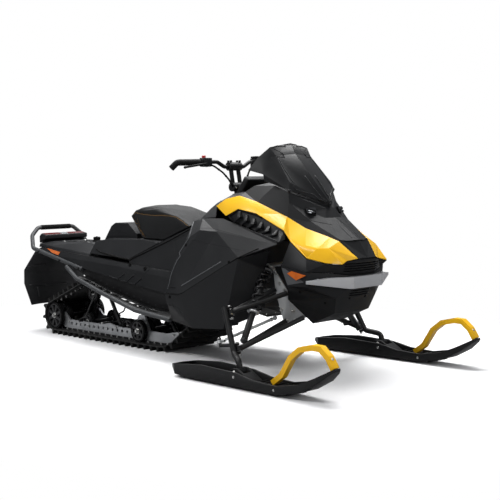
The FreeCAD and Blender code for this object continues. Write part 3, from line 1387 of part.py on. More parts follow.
# Ski loops: bent grab handle from the tip of each ski back to its deck.
def band(points, width):
    """Outline of a strip of even width round a line of points."""
    spots = [Vector(x, z, 0) for x, z in points]
    near, far = [], []
    for index, spot in enumerate(spots):
        before = (spot - spots[index - 1]).normalize() if index else None
        after = (spots[index + 1] - spot).normalize() if index + 1 < len(spots) else None
        along = (before + after).normalize() if before and after else (before or after)
        run = before or after
        crosswise = Vector(-along.y, along.x, 0)
        mitre = 1 / max(crosswise.dot(Vector(-run.y, run.x, 0)), mitre_limit)
        near.append(spot + crosswise * (width / 2 * mitre))
        far.append(spot - crosswise * (width / 2 * mitre))
    return [(spot.x, spot.y) for spot in near + list(reversed(far))]


loop_line = [(1180, 50), (1240, 92), (1300, 180), (1360, 224), (1440, 242), (1486, 240), (1530, 205),
             (1560, 158)]
loop_thick = 26
loop_wide = size("loop_wide", 34)
doc.recompute()
loop_body = pad("ski_loop_band", "XZ_Plane", band(loop_line, loop_thick), loop_wide)
loop = cut("ski_loop_cut", place(compound("ski_loop_placed", [loop_body]), 0, -ski_y, 0), ski)
pair(loop, "ski_loop")

# Checks of every object and of every node, then one file for each node.
doc.recompute()
failed = [obj.Name for obj in doc.Objects if "Invalid" in obj.State or "Error" in obj.State]
failed += [obj.Label for obj in nodes if obj.Shape.isNull() or not obj.Shape.isValid()]
if failed:
    raise ValueError("These pieces failed: " + ", ".join(failed))
os.makedirs("parts", exist_ok=True)
for obj in nodes:
    obj.Shape.exportStep(f"parts/{obj.Label}.step")
print(len(nodes), "nodes")
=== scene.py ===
import bpy
import bmesh
import json
import math
from mathutils import Matrix, Vector
from mathutils.bvhtree import BVHTree

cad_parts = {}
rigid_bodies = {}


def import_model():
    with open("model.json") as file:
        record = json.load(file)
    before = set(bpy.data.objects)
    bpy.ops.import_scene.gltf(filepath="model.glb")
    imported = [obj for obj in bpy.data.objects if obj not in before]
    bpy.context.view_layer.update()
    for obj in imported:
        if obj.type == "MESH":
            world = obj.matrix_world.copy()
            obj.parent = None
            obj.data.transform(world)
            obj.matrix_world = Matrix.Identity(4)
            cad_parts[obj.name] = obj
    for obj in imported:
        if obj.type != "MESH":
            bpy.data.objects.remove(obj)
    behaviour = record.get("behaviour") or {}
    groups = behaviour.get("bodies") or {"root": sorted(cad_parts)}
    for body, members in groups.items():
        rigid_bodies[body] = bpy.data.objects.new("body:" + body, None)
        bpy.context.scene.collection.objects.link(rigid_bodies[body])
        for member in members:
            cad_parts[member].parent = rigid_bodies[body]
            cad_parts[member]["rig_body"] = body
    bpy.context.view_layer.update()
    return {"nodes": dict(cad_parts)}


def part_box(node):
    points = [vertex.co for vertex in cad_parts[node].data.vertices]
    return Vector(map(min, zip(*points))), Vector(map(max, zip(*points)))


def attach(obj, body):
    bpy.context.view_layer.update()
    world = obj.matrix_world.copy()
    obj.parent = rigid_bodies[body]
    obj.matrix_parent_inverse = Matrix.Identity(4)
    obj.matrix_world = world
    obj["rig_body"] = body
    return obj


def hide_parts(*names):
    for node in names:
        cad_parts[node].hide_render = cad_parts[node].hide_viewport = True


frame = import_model()
nodes = frame["nodes"]
scene = bpy.context.scene
SIDES = (("right", -1), ("left", 1))

# Studio: the camera stands low at the front right corner of the machine, a little above the
# headlamps. A pale floor and a white surround carry a soft shadow under large soft lamps.
camera_data = bpy.data.cameras.new("studio_camera")
camera_data.lens = 68.856
camera_data.sensor_width = 36
camera_data.clip_end = 100
camera = bpy.data.objects.new("studio_camera", camera_data)
scene.collection.objects.link(camera)
camera_turn, camera_rise, camera_roll = (math.radians(angle) for angle in (46.852, 3.687, 1.376))
camera_back = Vector((math.sin(camera_turn) * math.cos(camera_rise),
                      -math.cos(camera_turn) * math.cos(camera_rise), math.sin(camera_rise)))
camera_quaternion = ((-camera_back).to_track_quat("-Z", "Y")
                     @ Matrix.Rotation(-camera_roll, 3, "Z").to_quaternion())
camera.rotation_mode = "QUATERNION"
camera.rotation_quaternion = camera_quaternion
camera.location = (4.3215, -3.6183, 0.9531)
scene.camera = camera
scene.view_settings.view_transform = "Standard"


def softbox(name, place, target, wide, high, power):
    """Large soft lamp turned towards a point."""
    data = bpy.data.lights.new(name, "AREA")
    data.shape = "RECTANGLE"
    data.size, data.size_y = wide, high
    data.energy = power
    lamp = bpy.data.objects.new(name, data)
    scene.collection.objects.link(lamp)
    lamp.location = place
    lamp.rotation_euler = (Vector(target) - Vector(place)).to_track_quat("-Z", "Y").to_euler()


softbox("overhead_box", (-0.45, 0.6, 3.5), (0, 0, 0.3), 4.2, 1.9, 255)
softbox("front_box", (4.9, -1.0, 1.7), (0.8, 0, 0.5), 1.4, 1.6, 40)
softbox("side_box", (-0.2, -3.6, 3.6), (-0.1, 0, 0.5), 3.8, 1.0, 125)
softbox("rear_box", (-3.6, 3.4, 2.6), (0, 0, 0.5), 2.6, 1.6, 35)


def add_node(tree, kind, inputs=(), **settings):
    """Shader node with its settings, and with each named input set to a value or linked to a socket."""
    made = tree.nodes.new("ShaderNode" + kind)
    for label, value in settings.items():
        setattr(made, label, value)
    for label, value in dict(inputs).items():
        if isinstance(value, bpy.types.NodeSocket):
            tree.links.new(value, made.inputs[label])
        else:
            made.inputs[label].default_value = value
    return made


def seen_plainly(tree):
    """One for rays from the camera and for transmitted ones, nought for light and mirrored rays."""
    path = add_node(tree, "LightPath").outputs
    rays = {0: path["Is Camera Ray"], 1: path["Is Transmission Ray"]}
    return add_node(tree, "Math", rays, operation="MAXIMUM").outputs[0]


world = bpy.data.worlds.new("studio_surround")
scene.world = world
world.use_nodes = True
world_tree = world.node_tree
world_light = world_tree.nodes["Background"]
world_light.inputs["Color"].default_value = (0.93, 0.95, 1.0, 1)
world_light.inputs["Strength"].default_value = 0.24
world_seen = add_node(world_tree, "Background", {"Color": (1, 1, 1, 1)})
world_mix = add_node(world_tree, "MixShader", {"Fac": seen_plainly(world_tree), 1: world_light.outputs[0],
                                               2: world_seen.outputs[0]})
world_tree.links.new(world_mix.outputs[0], world_tree.nodes["World Output"].inputs["Surface"])


def add_piece(name, shape, body, material=None, smooth=False, crisp=0, place=None):
    """Turn a bmesh into an object that moves with a body; crisp is the turn in degrees that stays sharp."""
    mesh = bpy.data.meshes.new(name)
    shape.to_mesh(mesh)
    shape.free()
    piece = bpy.data.objects.new(name, mesh)
    scene.collection.objects.link(piece)
    if smooth or crisp:
        mesh.shade_smooth()
    if crisp:
        mesh.set_sharp_from_angle(angle=math.radians(crisp))
    if place is not None:
        mesh.transform(place)
    if material:
        mesh.materials.append(material)
    if body:
        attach(piece, body)
    return piece


floor_shape = bmesh.new()
bmesh.ops.create_grid(floor_shape, x_segments=1, y_segments=1, size=40)
floor_paint = bpy.data.materials.new("studio_floor_paint")
floor_paint.use_nodes = True
floor = add_piece("studio_floor", floor_shape, None, floor_paint)
floor_tree = floor_paint.node_tree
floor_seen = seen_plainly(floor_tree)
floor_colour = add_node(floor_tree, "Mix", {"A": (0.3, 0.3, 0.305, 1), "B": (0.96, 0.96, 0.965, 1),
                                            "Factor": floor_seen}, data_type="RGBA")
floor_surface = floor_tree.nodes["Principled BSDF"]
floor_surface.inputs["Roughness"].default_value = 0.8
floor_surface.inputs["Specular IOR Level"].default_value = 0.1
floor_tree.links.new(floor_colour.outputs["Result"], floor_surface.inputs["Base Color"])
floor_place = add_node(floor_tree, "TexCoord").outputs["Object"]
floor_scale = add_node(floor_tree, "Mapping", {"Vector": floor_place, "Scale": (1 / 2.2, 1 / 1.5, 1)})
floor_reach = add_node(floor_tree, "VectorMath", {0: floor_scale.outputs[0]}, operation="LENGTH")
floor_fade = add_node(floor_tree, "MapRange", {"Value": floor_reach.outputs["Value"], "From Min": 0.75,
                                               "From Max": 1.45}, interpolation_type="SMOOTHSTEP")
floor_share = add_node(floor_tree, "Math", {0: floor_fade.outputs["Result"], 1: floor_seen},
                       operation="MULTIPLY")
floor_white = add_node(floor_tree, "Emission")
floor_mix = add_node(floor_tree, "MixShader", {"Fac": floor_share.outputs[0],
                                               1: floor_surface.outputs["BSDF"],
                                               2: floor_white.outputs[0]})
floor_tree.links.new(floor_mix.outputs[0], floor_tree.nodes["Material Output"].inputs["Surface"])

# Finishes shared by many pieces: fine moulded grain, soft patches of handling, the drawn lines of
# rolled metal, and a mask for the upright webs of the skid rails.
def new_group(name, output, **inputs):
    """Shader node group with one output, and the sockets that its named inputs have inside it."""
    group = bpy.data.node_groups.new(name, "ShaderNodeTree")
    for label, value in inputs.items():
        socket = group.interface.new_socket(label, in_out="INPUT", socket_type="NodeSocketFloat")
        socket.default_value = value
    group.interface.new_socket(output, in_out="OUTPUT", socket_type="NodeSocketFloat")
    group.nodes.new("NodeGroupOutput")
    return group, group.nodes.new("NodeGroupInput").outputs


def ended(group, value):
    """The group, with a value sent to its output."""
    group.links.new(value, group.nodes["Group Output"].inputs[0])
    return group


def grain_group():
    """Leather-like moulded grain: small cells with soft walls, broken up by fine noise."""
    group, given = new_group("moulded_grain", "Height", Cell=420.0)
    place = add_node(group, "TexCoord").outputs["Object"]
    cells = add_node(group, "TexVoronoi", {"Vector": place, "Scale": given["Cell"], "Smoothness": 0.6},
                     feature="SMOOTH_F1")
    finer = add_node(group, "Math", {0: given["Cell"], 1: 2.3}, operation="MULTIPLY")
    noise = add_node(group, "TexNoise", {"Vector": place, "Scale": finer.outputs[0], "Detail": 3})
    height = add_node(group, "Math", {0: cells.outputs["Distance"], 1: noise.outputs["Fac"]}, operation="ADD")
    return ended(group, height.outputs[0])


def smudge_group():
    """Broad soft patches where a surface is a little duller, as after handling and wiping."""
    group, given = new_group("handling_smudge", "Mask", Patch=5.0)
    place = add_node(group, "TexCoord").outputs["Object"]
    patch = add_node(group, "TexNoise", {"Vector": place, "Scale": given["Patch"], "Detail": 5,
                                         "Roughness": 0.6})
    spread = add_node(group, "MapRange", {"Value": patch.outputs["Fac"], "From Min": 0.35, "From Max": 0.7})
    return ended(group, spread.outputs["Result"])


def drawn_group():
    """Fine lines along the machine, as left by rolling, extruding or brushing metal."""
    group, given = new_group("drawn_lines", "Mask", Along=6.0, Across=700.0)
    place = add_node(group, "TexCoord").outputs["Object"]
    stretch = add_node(group, "CombineXYZ", {"X": given["Along"], "Y": given["Across"], "Z": given["Across"]})
    scaled = add_node(group, "VectorMath", {0: place, 1: stretch.outputs[0]}, operation="MULTIPLY")
    lines = add_node(group, "TexNoise", {"Vector": scaled.outputs[0], "Scale": 1, "Detail": 4})
    return ended(group, lines.outputs["Fac"])


def web_group():
    """One on the two upright webs of the skid rails, nought on what is wider or between them."""
    group, given = new_group("rail_web", "Mask", Offset=0.135, Half=0.0064)
    place = add_node(group, "TexCoord").outputs["Object"]
    value = add_node(group, "SeparateXYZ", {"Vector": place}).outputs["Y"]
    for operation, partner in (("ABSOLUTE", 0), ("SUBTRACT", given["Offset"]), ("ABSOLUTE", 0),
                               ("LESS_THAN", given["Half"])):
        value = add_node(group, "Math", {0: value, 1: partner}, operation=operation).outputs[0]
    return ended(group, value)


moulded_grain, handling_smudge = grain_group(), smudge_group()
drawn_lines, rail_web = drawn_group(), web_group()


def ramp_between(tree, mask, low, high):
    """Value that goes from low to high as the mask goes from nought to one."""
    return add_node(tree, "MapRange", {"Value": mask, "To Min": low, "To Max": high}).outputs["Result"]


def colour_between(tree, mask, low, high):
    """Colour that goes from low to high as the mask goes from nought to one."""
    ends = {label: (*end, 1) if isinstance(end, tuple) else end for label, end in (("A", low), ("B", high))}
    return add_node(tree, "Mix", {"Factor": mask, **ends}, data_type="RGBA").outputs["Result"]


def group_in(tree, group, **values):
    """Output of a node group placed in a material with its own values."""
    return add_node(tree, "Group", values, node_tree=group).outputs[0]


def finish_of(name, colour, worn, rough, grain, bump, metallic=0.0, coat=0.0, specular=0.5, drawn=False,
              webbed=None):
    """Material with a grained or drawn surface and soft patches of wear."""
    material = bpy.data.materials.new(name)
    material.use_nodes = True
    tree = material.node_tree
    surface = tree.nodes["Principled BSDF"]
    smudge = group_in(tree, handling_smudge)
    height = group_in(tree, drawn_lines) if drawn else group_in(tree, moulded_grain, Cell=grain)
    bumps = add_node(tree, "Bump", {"Strength": bump, "Distance": 0.0006, "Height": height})
    paint = colour_between(tree, smudge, colour, worn)
    surface.inputs["Metallic"].default_value = metallic
    if webbed:
        web = group_in(tree, rail_web)
        paint = colour_between(tree, web, webbed, paint)
        tree.links.new(ramp_between(tree, web, 0.0, metallic), surface.inputs["Metallic"])
    tree.links.new(bumps.outputs["Normal"], surface.inputs["Normal"])
    tree.links.new(paint, surface.inputs["Base Color"])
    tree.links.new(ramp_between(tree, smudge, *rough), surface.inputs["Roughness"])
    for label, value in (("Specular IOR Level", specular), ("Coat Weight", coat), ("Coat Roughness", 0.08)):
        surface.inputs[label].default_value = value
    return material


satin_black = finish_of("satin_black_plastic", (0.0085, 0.009, 0.01), (0.012, 0.0125, 0.0135), (0.46, 0.58),
                        520, 0.16, specular=0.2)
# Grey plastic: the reflector plates' own colour, and also the colour of painted highlights on the side
# panels.
grey_plate_and_highlight_plastic = finish_of("grey_plate_and_painted_highlight", (0.062, 0.065, 0.069), (0.08, 0.083, 0.087), (0.4, 0.5), 520, 0.1,
                      specular=0.3)
# Matt black rubber, also used for black wires and sheets that are painted shade: over the vents' lit border
# and behind the nose's slots.
deep_black = finish_of("matt_black_rubber_and_painted_shade", (0.0025, 0.0025, 0.0026), (0.004, 0.004, 0.004), (0.7, 0.85), 300,
                       0.2, specular=0.1)
powder_black = finish_of("black_powder_coat", (0.006, 0.006, 0.0065), (0.011, 0.011, 0.0115), (0.36, 0.5),
                         900, 0.2, specular=0.3)
powder_grey = finish_of("dark_grey_powder_coat", (0.032, 0.034, 0.036), (0.045, 0.047, 0.05), (0.4, 0.52),
                        800, 0.2, specular=0.35)
bare_aluminium = finish_of("bare_aluminium", (0.62, 0.63, 0.64), (0.5, 0.51, 0.51), (0.34, 0.46), 0, 0.12,
                           metallic=0.6, drawn=True)
zinc_steel = finish_of("zinc_plated_steel", (0.62, 0.62, 0.6), (0.48, 0.48, 0.47), (0.22, 0.36), 900, 0.08,
                       metallic=0.95)


def dress(node, material):
    """Give a CAD node its finish."""
    mesh = nodes[node].data
    mesh.materials.clear()
    mesh.materials.append(material)


# Places on the machine: a surface tree for each CAD node, met by a line of sight of the picture or
# by a straight cast, so that every added detail sits on the piece that carries it.
picture_size = 500
picture_focus = camera_data.lens / camera_data.sensor_width * picture_size
trees = {}


def tree_of(name):
    """Surface tree of a CAD node."""
    if name not in trees:
        mesh = nodes[name].data
        trees[name] = BVHTree.FromPolygons([v.co for v in mesh.vertices], [p.vertices for p in mesh.polygons])
    return trees[name]


def cast(names, start, direction):
    """Nearest point, with its outward normal, where a line meets the named surfaces."""
    start, direction = Vector(start), Vector(direction).normalized()
    hits = []
    for name in names:
        spot, normal, index, reach = tree_of(name).ray_cast(start, direction)
        if spot:
            hits.append((reach, spot, normal if normal.dot(direction) < 0 else -normal))
    if not hits:
        return None
    reach, spot, normal = min(hits, key=lambda hit: hit[0])
    return spot, normal


def seen_on(names, across, down):
    """Point of the named nodes seen at a pixel of the picture, with its outward normal."""
    half = picture_size / 2
    sight = camera_quaternion @ Vector((across - half, half - down, -picture_focus))
    met = cast(names, camera.location, sight)
    if met:
        return met
    sight = sight.normalized()
    reach = (Vector(tree_of(names[0]).find_nearest(camera.location)[0]) - camera.location).length
    for turn in range(8):
        near = min((tree_of(name).find_nearest(camera.location + sight * reach) for name in names),
                   key=lambda found: found[3])
        reach = (near[0] - camera.location).dot(sight)
    return near[0], near[1]


def drawn_on(names, pixels, lift=0.0, step=3.0):
    """Path on the named surfaces under a line drawn through pixels of the picture."""
    path = []
    for (x0, y0), (x1, y1) in zip(pixels, pixels[1:]):
        parts = max(1, round(math.dist((x0, y0), (x1, y1)) / step))
        for index in range(parts):
            share = index / parts
            path.append((x0 + (x1 - x0) * share, y0 + (y1 - y0) * share))
    path.append(pixels[-1])
    points = []
    for across, down in path:
        spot, normal = seen_on(names, across, down)
        spot = spot + normal * lift
        if not points or (spot - points[-1]).length > 0.004:
            points.append(spot)
    return points


def side_of(spot, way):
    """A place, or a direction, of the right side given for either side."""
    return Vector((spot[0], -way * spot[1], spot[2]))


def mirrored(path):
    """The same path on the other side of the machine."""
    return [side_of(spot, 1) for spot in path]


def both(paths):
    """Paths of one side together with their mirror images."""
    return list(paths) + [mirrored(path) for path in paths]


def wire_shape(paths, radius, sides=2):
    """Round wires along paths of points."""
    curve = bpy.data.curves.new("wire", "CURVE")
    curve.dimensions = "3D"
    curve.bevel_depth = radius
    curve.bevel_resolution = sides
    curve.use_fill_caps = True
    for path in paths:
        spline = curve.splines.new("POLY")
        spline.points.add(len(path) - 1)
        for knot, spot in zip(spline.points, path):
            knot.co = (*spot, 1)
    holder = bpy.data.objects.new("wire", curve)
    mesh = bpy.data.meshes.new_from_object(holder)
    shape = bmesh.new()
    shape.from_mesh(mesh)
    bmesh.ops.remove_doubles(shape, verts=shape.verts, dist=0.00001)
    bmesh.ops.recalc_face_normals(shape, faces=shape.faces)
    bpy.data.objects.remove(holder)
    bpy.data.meshes.remove(mesh)
    bpy.data.curves.remove(curve)
    return shape


def add_wires(name, paths, radius, body, material, sides=2):
    """One piece of round wires along paths."""
    return add_piece(name, wire_shape(paths, radius, sides), body, material, smooth=True)


def settle(piece):
    """Turn a piece's modifiers into its mesh."""
    bpy.context.view_layer.update()
    made = bpy.data.meshes.new_from_object(piece.evaluated_get(bpy.context.evaluated_depsgraph_get()))
    made.name = piece.name
    piece.modifiers.clear()
    piece.data = made
    return piece


def soften(node, name, material, width, segments, seams=(), seam=0.0018):
    """Copy of a CAD panel with rounded edges and with seams cut in it, to stand for it."""
    source = nodes[node]
    shape = bmesh.new()
    shape.from_mesh(source.data)
    bmesh.ops.remove_doubles(shape, verts=shape.verts, dist=0.00002)
    bmesh.ops.dissolve_limit(shape, angle_limit=math.radians(0.6), verts=shape.verts, edges=shape.edges)
    piece = add_piece(name, shape, source["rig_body"], material, smooth=True)
    bevel = piece.modifiers.new("edge_round", "BEVEL")
    bevel.width = width
    bevel.segments = segments
    bevel.limit_method = "ANGLE"
    bevel.angle_limit = math.radians(12)
    bevel.harden_normals = not seams
    if seams:
        cutter = add_piece(name + "_seams", wire_shape(seams, seam, sides=1), None)
        groove = piece.modifiers.new("seams", "BOOLEAN")
        groove.operation = "DIFFERENCE"
        groove.solver = "EXACT"
        groove.object = cutter
        weigh = piece.modifiers.new("flat_faces", "WEIGHTED_NORMAL")
        weigh.weight = 80
        settle(piece)
        bpy.data.objects.remove(cutter)
    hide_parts(node)
    return piece


# Fastenings used all over the machine: hexagon bolts on washers, round-headed screws and rivets,
# each one small mesh that is stamped where a piece is fixed.
def lathe(profile, steps=20):
    """Turned form from pairs of radius and height, closed to itself or at its poles."""
    shape = bmesh.new()
    corners = [shape.verts.new((radius, 0, high)) for radius, high in profile]
    edges = [shape.edges.new(pair) for pair in zip(corners, corners[1:])]
    if profile[0][0] > 0:
        edges.append(shape.edges.new((corners[-1], corners[0])))
    bmesh.ops.spin(shape, geom=corners + edges, cent=(0, 0, 0), axis=(0, 0, 1), angle=2 * math.pi,
                   steps=steps, use_merge=True)
    bmesh.ops.remove_doubles(shape, verts=shape.verts, dist=0.000001)
    bmesh.ops.recalc_face_normals(shape, faces=shape.faces)
    return shape


def pattern_of(shape):
    """Mesh kept to be stamped many times."""
    mesh = bpy.data.meshes.new("pattern")
    shape.to_mesh(mesh)
    shape.free()
    return mesh


def stamp(shape, pattern, places):
    """Copies of one small mesh at each of its places, joined in one shape."""
    for place in places:
        start = len(shape.verts)
        shape.from_mesh(pattern)
        shape.verts.ensure_lookup_table()
        bmesh.ops.transform(shape, matrix=place, verts=shape.verts[start:])
    return shape


def stood(spot, normal, scale=1.0, turn=0.0):
    """Place that stands a form on a spot with its Z along a normal."""
    return (Matrix.Translation(Vector(spot)) @ Vector(normal).to_track_quat("Z", "Y").to_matrix().to_4x4()
            @ Matrix.Rotation(turn, 4, "Z") @ Matrix.Scale(scale, 4))


def side_places(spots, y, scale, turn=0.0):
    """Places on the upright faces of both sides, for spots of the side view."""
    return [stood((x, way * y, z), (0, way, 0), scale, turn) for x, z in spots for side, way in SIDES]


def paired(mets, scale, turn=0.0, ways=(-1, 1)):
    """Places on both sides, or on the one named, for spots and normals found on the right side."""
    return [stood(side_of(spot, way), side_of(normal, way), scale, turn) for spot, normal in mets
            for way in ways]


def stood_under(name, spots, scale=1.0):
    """Places on top of a CAD node, straight below the spots."""
    mets = [cast([name], spot, (0, 0, -1)) for spot in spots]
    return [stood(*met, scale) for met in mets if met]


def stamped(name, pattern, places, body, material):
    """One piece of many copies of a small mesh."""
    return add_piece(name, stamp(bmesh.new(), pattern, places), body, material)


hex_shape = lathe([(0, 0.25), (0.98, 0.25), (1.0, 0.2), (1.0, 0), (0, 0)], 16)
hex_head = bmesh.new()
bmesh.ops.create_cone(hex_head, cap_ends=True, segments=6, radius1=0.8, radius2=0.8, depth=0.6,
                      matrix=Matrix.Translation((0, 0, 0.55)))
bmesh.ops.bevel(hex_head, geom=[edge for edge in hex_head.edges if min(v.co.z for v in edge.verts) > 0.8],
                offset=0.1, affect="EDGES", segments=1, profile=0.5, material=-1)
hex_mesh = pattern_of(hex_head)
stamp(hex_shape, hex_mesh, [Matrix.Identity(4)])
hex_bolt = pattern_of(hex_shape)
round_screw = pattern_of(lathe([(0, 0.18), (0.3, 0.18), (0.36, 0.42), (0.62, 0.4), (0.9, 0.24), (1.0, 0.06),
                                (1.0, 0), (0, 0)], 14))
rivet_head = pattern_of(lathe([(0, 0.4), (0.5, 0.34), (0.85, 0.18), (1.0, 0), (0, 0)], 10))

# Track: one moulded rubber belt with rows of lugs, greyed a little where it runs. A thin grey wire along
# each edge is a painted highlight, and pressed steel clips with guide fins are folded round it at each pitch.
track_rubber = finish_of("track_rubber", (0.008, 0.008, 0.008), (0.02, 0.02, 0.019), (0.6, 0.8), 300, 0.5,
                         specular=0.3)
dress("track", track_rubber)
belt_wheels = [(-1.312, 0.124, 0.090), (-0.935, 0.300, 0.062), (0.158, 0.306, 0.088), (-0.160, 0.294, 0.260)]
belt_pitches = 56
belt_half_width = 0.1905


def belt_line(wheels):
    """Arcs and straight runs of the belt's inner face, clockwise from the rear wheel."""
    leaving = []
    for (x0, z0, r0), (x1, z1, r1) in zip(wheels, wheels[1:] + wheels[:1]):
        gap = Vector((x1 - x0, z1 - z0))
        leaving.append(math.atan2(gap.y, gap.x) + math.acos((r0 - r1) / gap.length))
    runs = []
    for index, (x, z, radius) in enumerate(wheels):
        start, end = leaving[index - 1], leaving[index]
        while start < end:
            start += 2 * math.pi
        runs.append((radius * (start - end), "arc", Vector((x, z)), radius, start))
        x1, z1, r1 = wheels[(index + 1) % len(wheels)]
        out = Vector((math.cos(end), math.sin(end)))
        first, final = Vector((x, z)) + out * radius, Vector((x1, z1)) + out * r1
        runs.append(((final - first).length, "line", first, final, out))
    return runs


belt_runs = belt_line(belt_wheels)
belt_length = sum(run[0] for run in belt_runs)


def belt_place(distance):
    """Point of the belt's inner face in the side view, with the direction out of the loop."""
    distance %= belt_length
    for length, kind, first, second, third in belt_runs:
        if distance <= length:
            break
        distance -= length
    if kind == "line":
        return first + (second - first) * (distance / length), third
    angle = third - distance / second
    out = Vector((math.cos(angle), math.sin(angle)))
    return first + out * second, out


def add_box(shape, middle, sizes):
    """The shape with a plain box added to it."""
    bmesh.ops.create_cube(shape, size=1, matrix=Matrix.Translation(middle) @ Matrix.Diagonal((*sizes, 1)))
    return shape


clip_fin = add_box(bmesh.new(), (0, 0.0009, 0.007), (0.02, 0.0014, 0.014))
for corner in clip_fin.verts:
    if corner.co.z > 0.01:
        corner.co.x *= 0.45
clip_shape = add_box(bmesh.new(), (0, 0.0135, 0.0001), (0.022, 0.026, 0.0007))
clip_mesh = pattern_of(stamp(clip_shape, pattern_of(clip_fin), [Matrix.Identity(4)]))
clip_y = 0.1481
clip_places = []
for index in range(belt_pitches):
    spot, out = belt_place((index + 0.25) * belt_length / belt_pitches)
    for side, way in SIDES:
        inward = Vector((-out.x, 0, -out.y))
        across_belt = Vector((0, -way, 0))
        along = across_belt.cross(inward)
        axes = Matrix((along, across_belt, inward)).transposed().to_4x4()
        clip_places.append(Matrix.Translation((spot.x, way * clip_y, spot.y)) @ axes)
stamped("track_clips", clip_mesh, clip_places, "chassis", zinc_steel)
# Painted highlight: a thin lighter grey wire along each edge of the belt, where the edge catches the light.
belt_edge_steps = 260
belt_edge_depth = 0.0035
belt_edge_path = []
for index in range(belt_edge_steps + 1):
    spot, out = belt_place(index * belt_length / belt_edge_steps)
    belt_edge_path.append((spot + out * belt_edge_depth).to_tuple())
belt_edge_paths = [[(x, way * belt_half_width, z) for x, z in belt_edge_path] for side, way in SIDES]
belt_edge_highlight = finish_of("belt_edge_highlight", (0.05, 0.05, 0.05), (0.08, 0.08, 0.078), (0.45, 0.6), 300, 0.2)
add_wires("track_edge_highlights", belt_edge_paths, 0.0012, "chassis", belt_edge_highlight, sides=1)

# Skid rails: extruded aluminium beams with punched holes, on black plastic sliders. Hexagon bolts
# hold the cross shafts and two rubber bump stops stand on each rail.
rail_metal = finish_of("rail_aluminium", (0.5, 0.51, 0.52), (0.4, 0.41, 0.42), (0.34, 0.46), 0, 0.12,
                       metallic=0.8, drawn=True, webbed=(0.004, 0.004, 0.0042))
dress("skid_rails", rail_metal)
rail_face_y, rail_middle_y = 0.141, 0.135
rail_bolt_spots = [(-0.060, 0.104), (-0.640, 0.098), (-0.950, 0.080), (-0.790, 0.112), (-1.180, 0.090),
                   (-0.330, 0.150), (-0.010, 0.118)]
stamped("rail_bolts", hex_bolt, side_places(rail_bolt_spots, rail_face_y, 0.0085, 0.4), "chassis", zinc_steel)
stop_mesh = pattern_of(lathe([(0, 0.03), (0.007, 0.03), (0.012, 0.024), (0.012, 0.016), (0.009, 0.012),
                              (0.014, 0.006), (0.014, 0), (0, 0)], 16))
stop_places = [stood((x, way * rail_middle_y, 0.1045), (0, 0, 1)) for x in (-0.560, -1.100)
               for side, way in SIDES]
stamped("rail_bump_stops", stop_mesh, stop_places, "chassis", deep_black)

# Idler wheels: moulded nylon discs with spokes and pressed rubber tyres, on bearings. The axle
# ends carry washers and bolts.
wheel_nylon = finish_of("wheel_nylon", (0.012, 0.012, 0.013), (0.022, 0.022, 0.023), (0.38, 0.55), 300, 0.2,
                        specular=0.4)
for node in ("idler_wheels", "drive_axle"):
    dress(node, wheel_nylon)
outer_wheel_y, inner_wheel_y, wheel_half = 0.1622, 0.0978, 0.013
wheel_spots = [(-1.312, 0.124, 0.0884, outer_wheel_y), (-1.312, 0.124, 0.0884, inner_wheel_y),
               (-0.372, 0.103, 0.0674, outer_wheel_y), (-0.372, 0.103, 0.0674, inner_wheel_y),
               (-0.935, 0.300, 0.0604, inner_wheel_y), (-1.010, 0.096, 0.0604, inner_wheel_y),
               (-0.560, 0.096, 0.0604, inner_wheel_y)]
tyres, seals, hubs = bmesh.new(), bmesh.new(), bmesh.new()
seal_mesh = pattern_of(lathe([(0.0125, 0.0012), (0.0185, 0.0012), (0.0195, 0.0002), (0.0195, -0.001),
                              (0.0125, -0.001)], 24))
hub_mesh = pattern_of(lathe([(0.0205, 0.0022), (0.0228, 0.0022), (0.0242, 0.0004), (0.0242, -0.001),
                             (0.0205, -0.001)], 28))
for x, z, radius, y in wheel_spots:
    tyre_profile = [(radius - 0.010, -0.0128), (radius - 0.009, -0.0136), (radius - 0.002, -0.0136),
                    (radius + 0.0006, -0.0112), (radius + 0.0006, -0.002), (radius - 0.0006, 0),
                    (radius + 0.0006, 0.002), (radius + 0.0006, 0.0112), (radius - 0.002, 0.0136),
                    (radius - 0.009, 0.0136), (radius - 0.010, 0.0128)]
    tyre_mesh = pattern_of(lathe(tyre_profile, 48))
    for side, way in SIDES:
        stamp(tyres, tyre_mesh, [stood((x, way * y, z), (0, way, 0))])
        for face in (-1, 1):
            place = stood((x, way * y + face * wheel_half, z), (0, face, 0))
            stamp(seals, seal_mesh, [place])
            stamp(hubs, hub_mesh, [place])
add_piece("wheel_tyres", tyres, "chassis", deep_black, smooth=True)
add_piece("wheel_bearings", seals, "chassis", zinc_steel)
add_piece("wheel_hub_rings", hubs, "chassis", wheel_nylon)
axle_end_y, axle_spots = 0.1782, ((-1.312, 0.124), (-0.372, 0.103))
stamped("axle_bolts", hex_bolt, side_places(axle_spots, axle_end_y, 0.0125, 0.3), "chassis", zinc_steel)

# Skid arms: black coated swing arms on cross shafts, two gas dampers with coil springs, and the
# pair of torsion springs at the rear arm, whose long legs press on the rails.
spring_steel = finish_of("spring_steel", (0.008, 0.008, 0.0085), (0.014, 0.014, 0.0145), (0.28, 0.4), 900,
                         0.1, coat=0.3)


def coil_path(start, end, radius, turns, flat=0.5):
    """Helix round a line, its end turns closed up as on a ground spring."""
    start, end = Vector(start), Vector(end)
    axes = (end - start).to_track_quat("Z", "Y").to_matrix()
    length = (end - start).length
    steps = int(turns * 16)
    path = []
    for index in range(steps + 1):
        share = index / steps
        rise = share - flat * math.sin(2 * math.pi * share) / (2 * math.pi)
        angle = share * turns * 2 * math.pi
        ring_spot = Vector((radius * math.cos(angle), radius * math.sin(angle), length * rise))
        path.append(start + axes @ ring_spot)
    return path


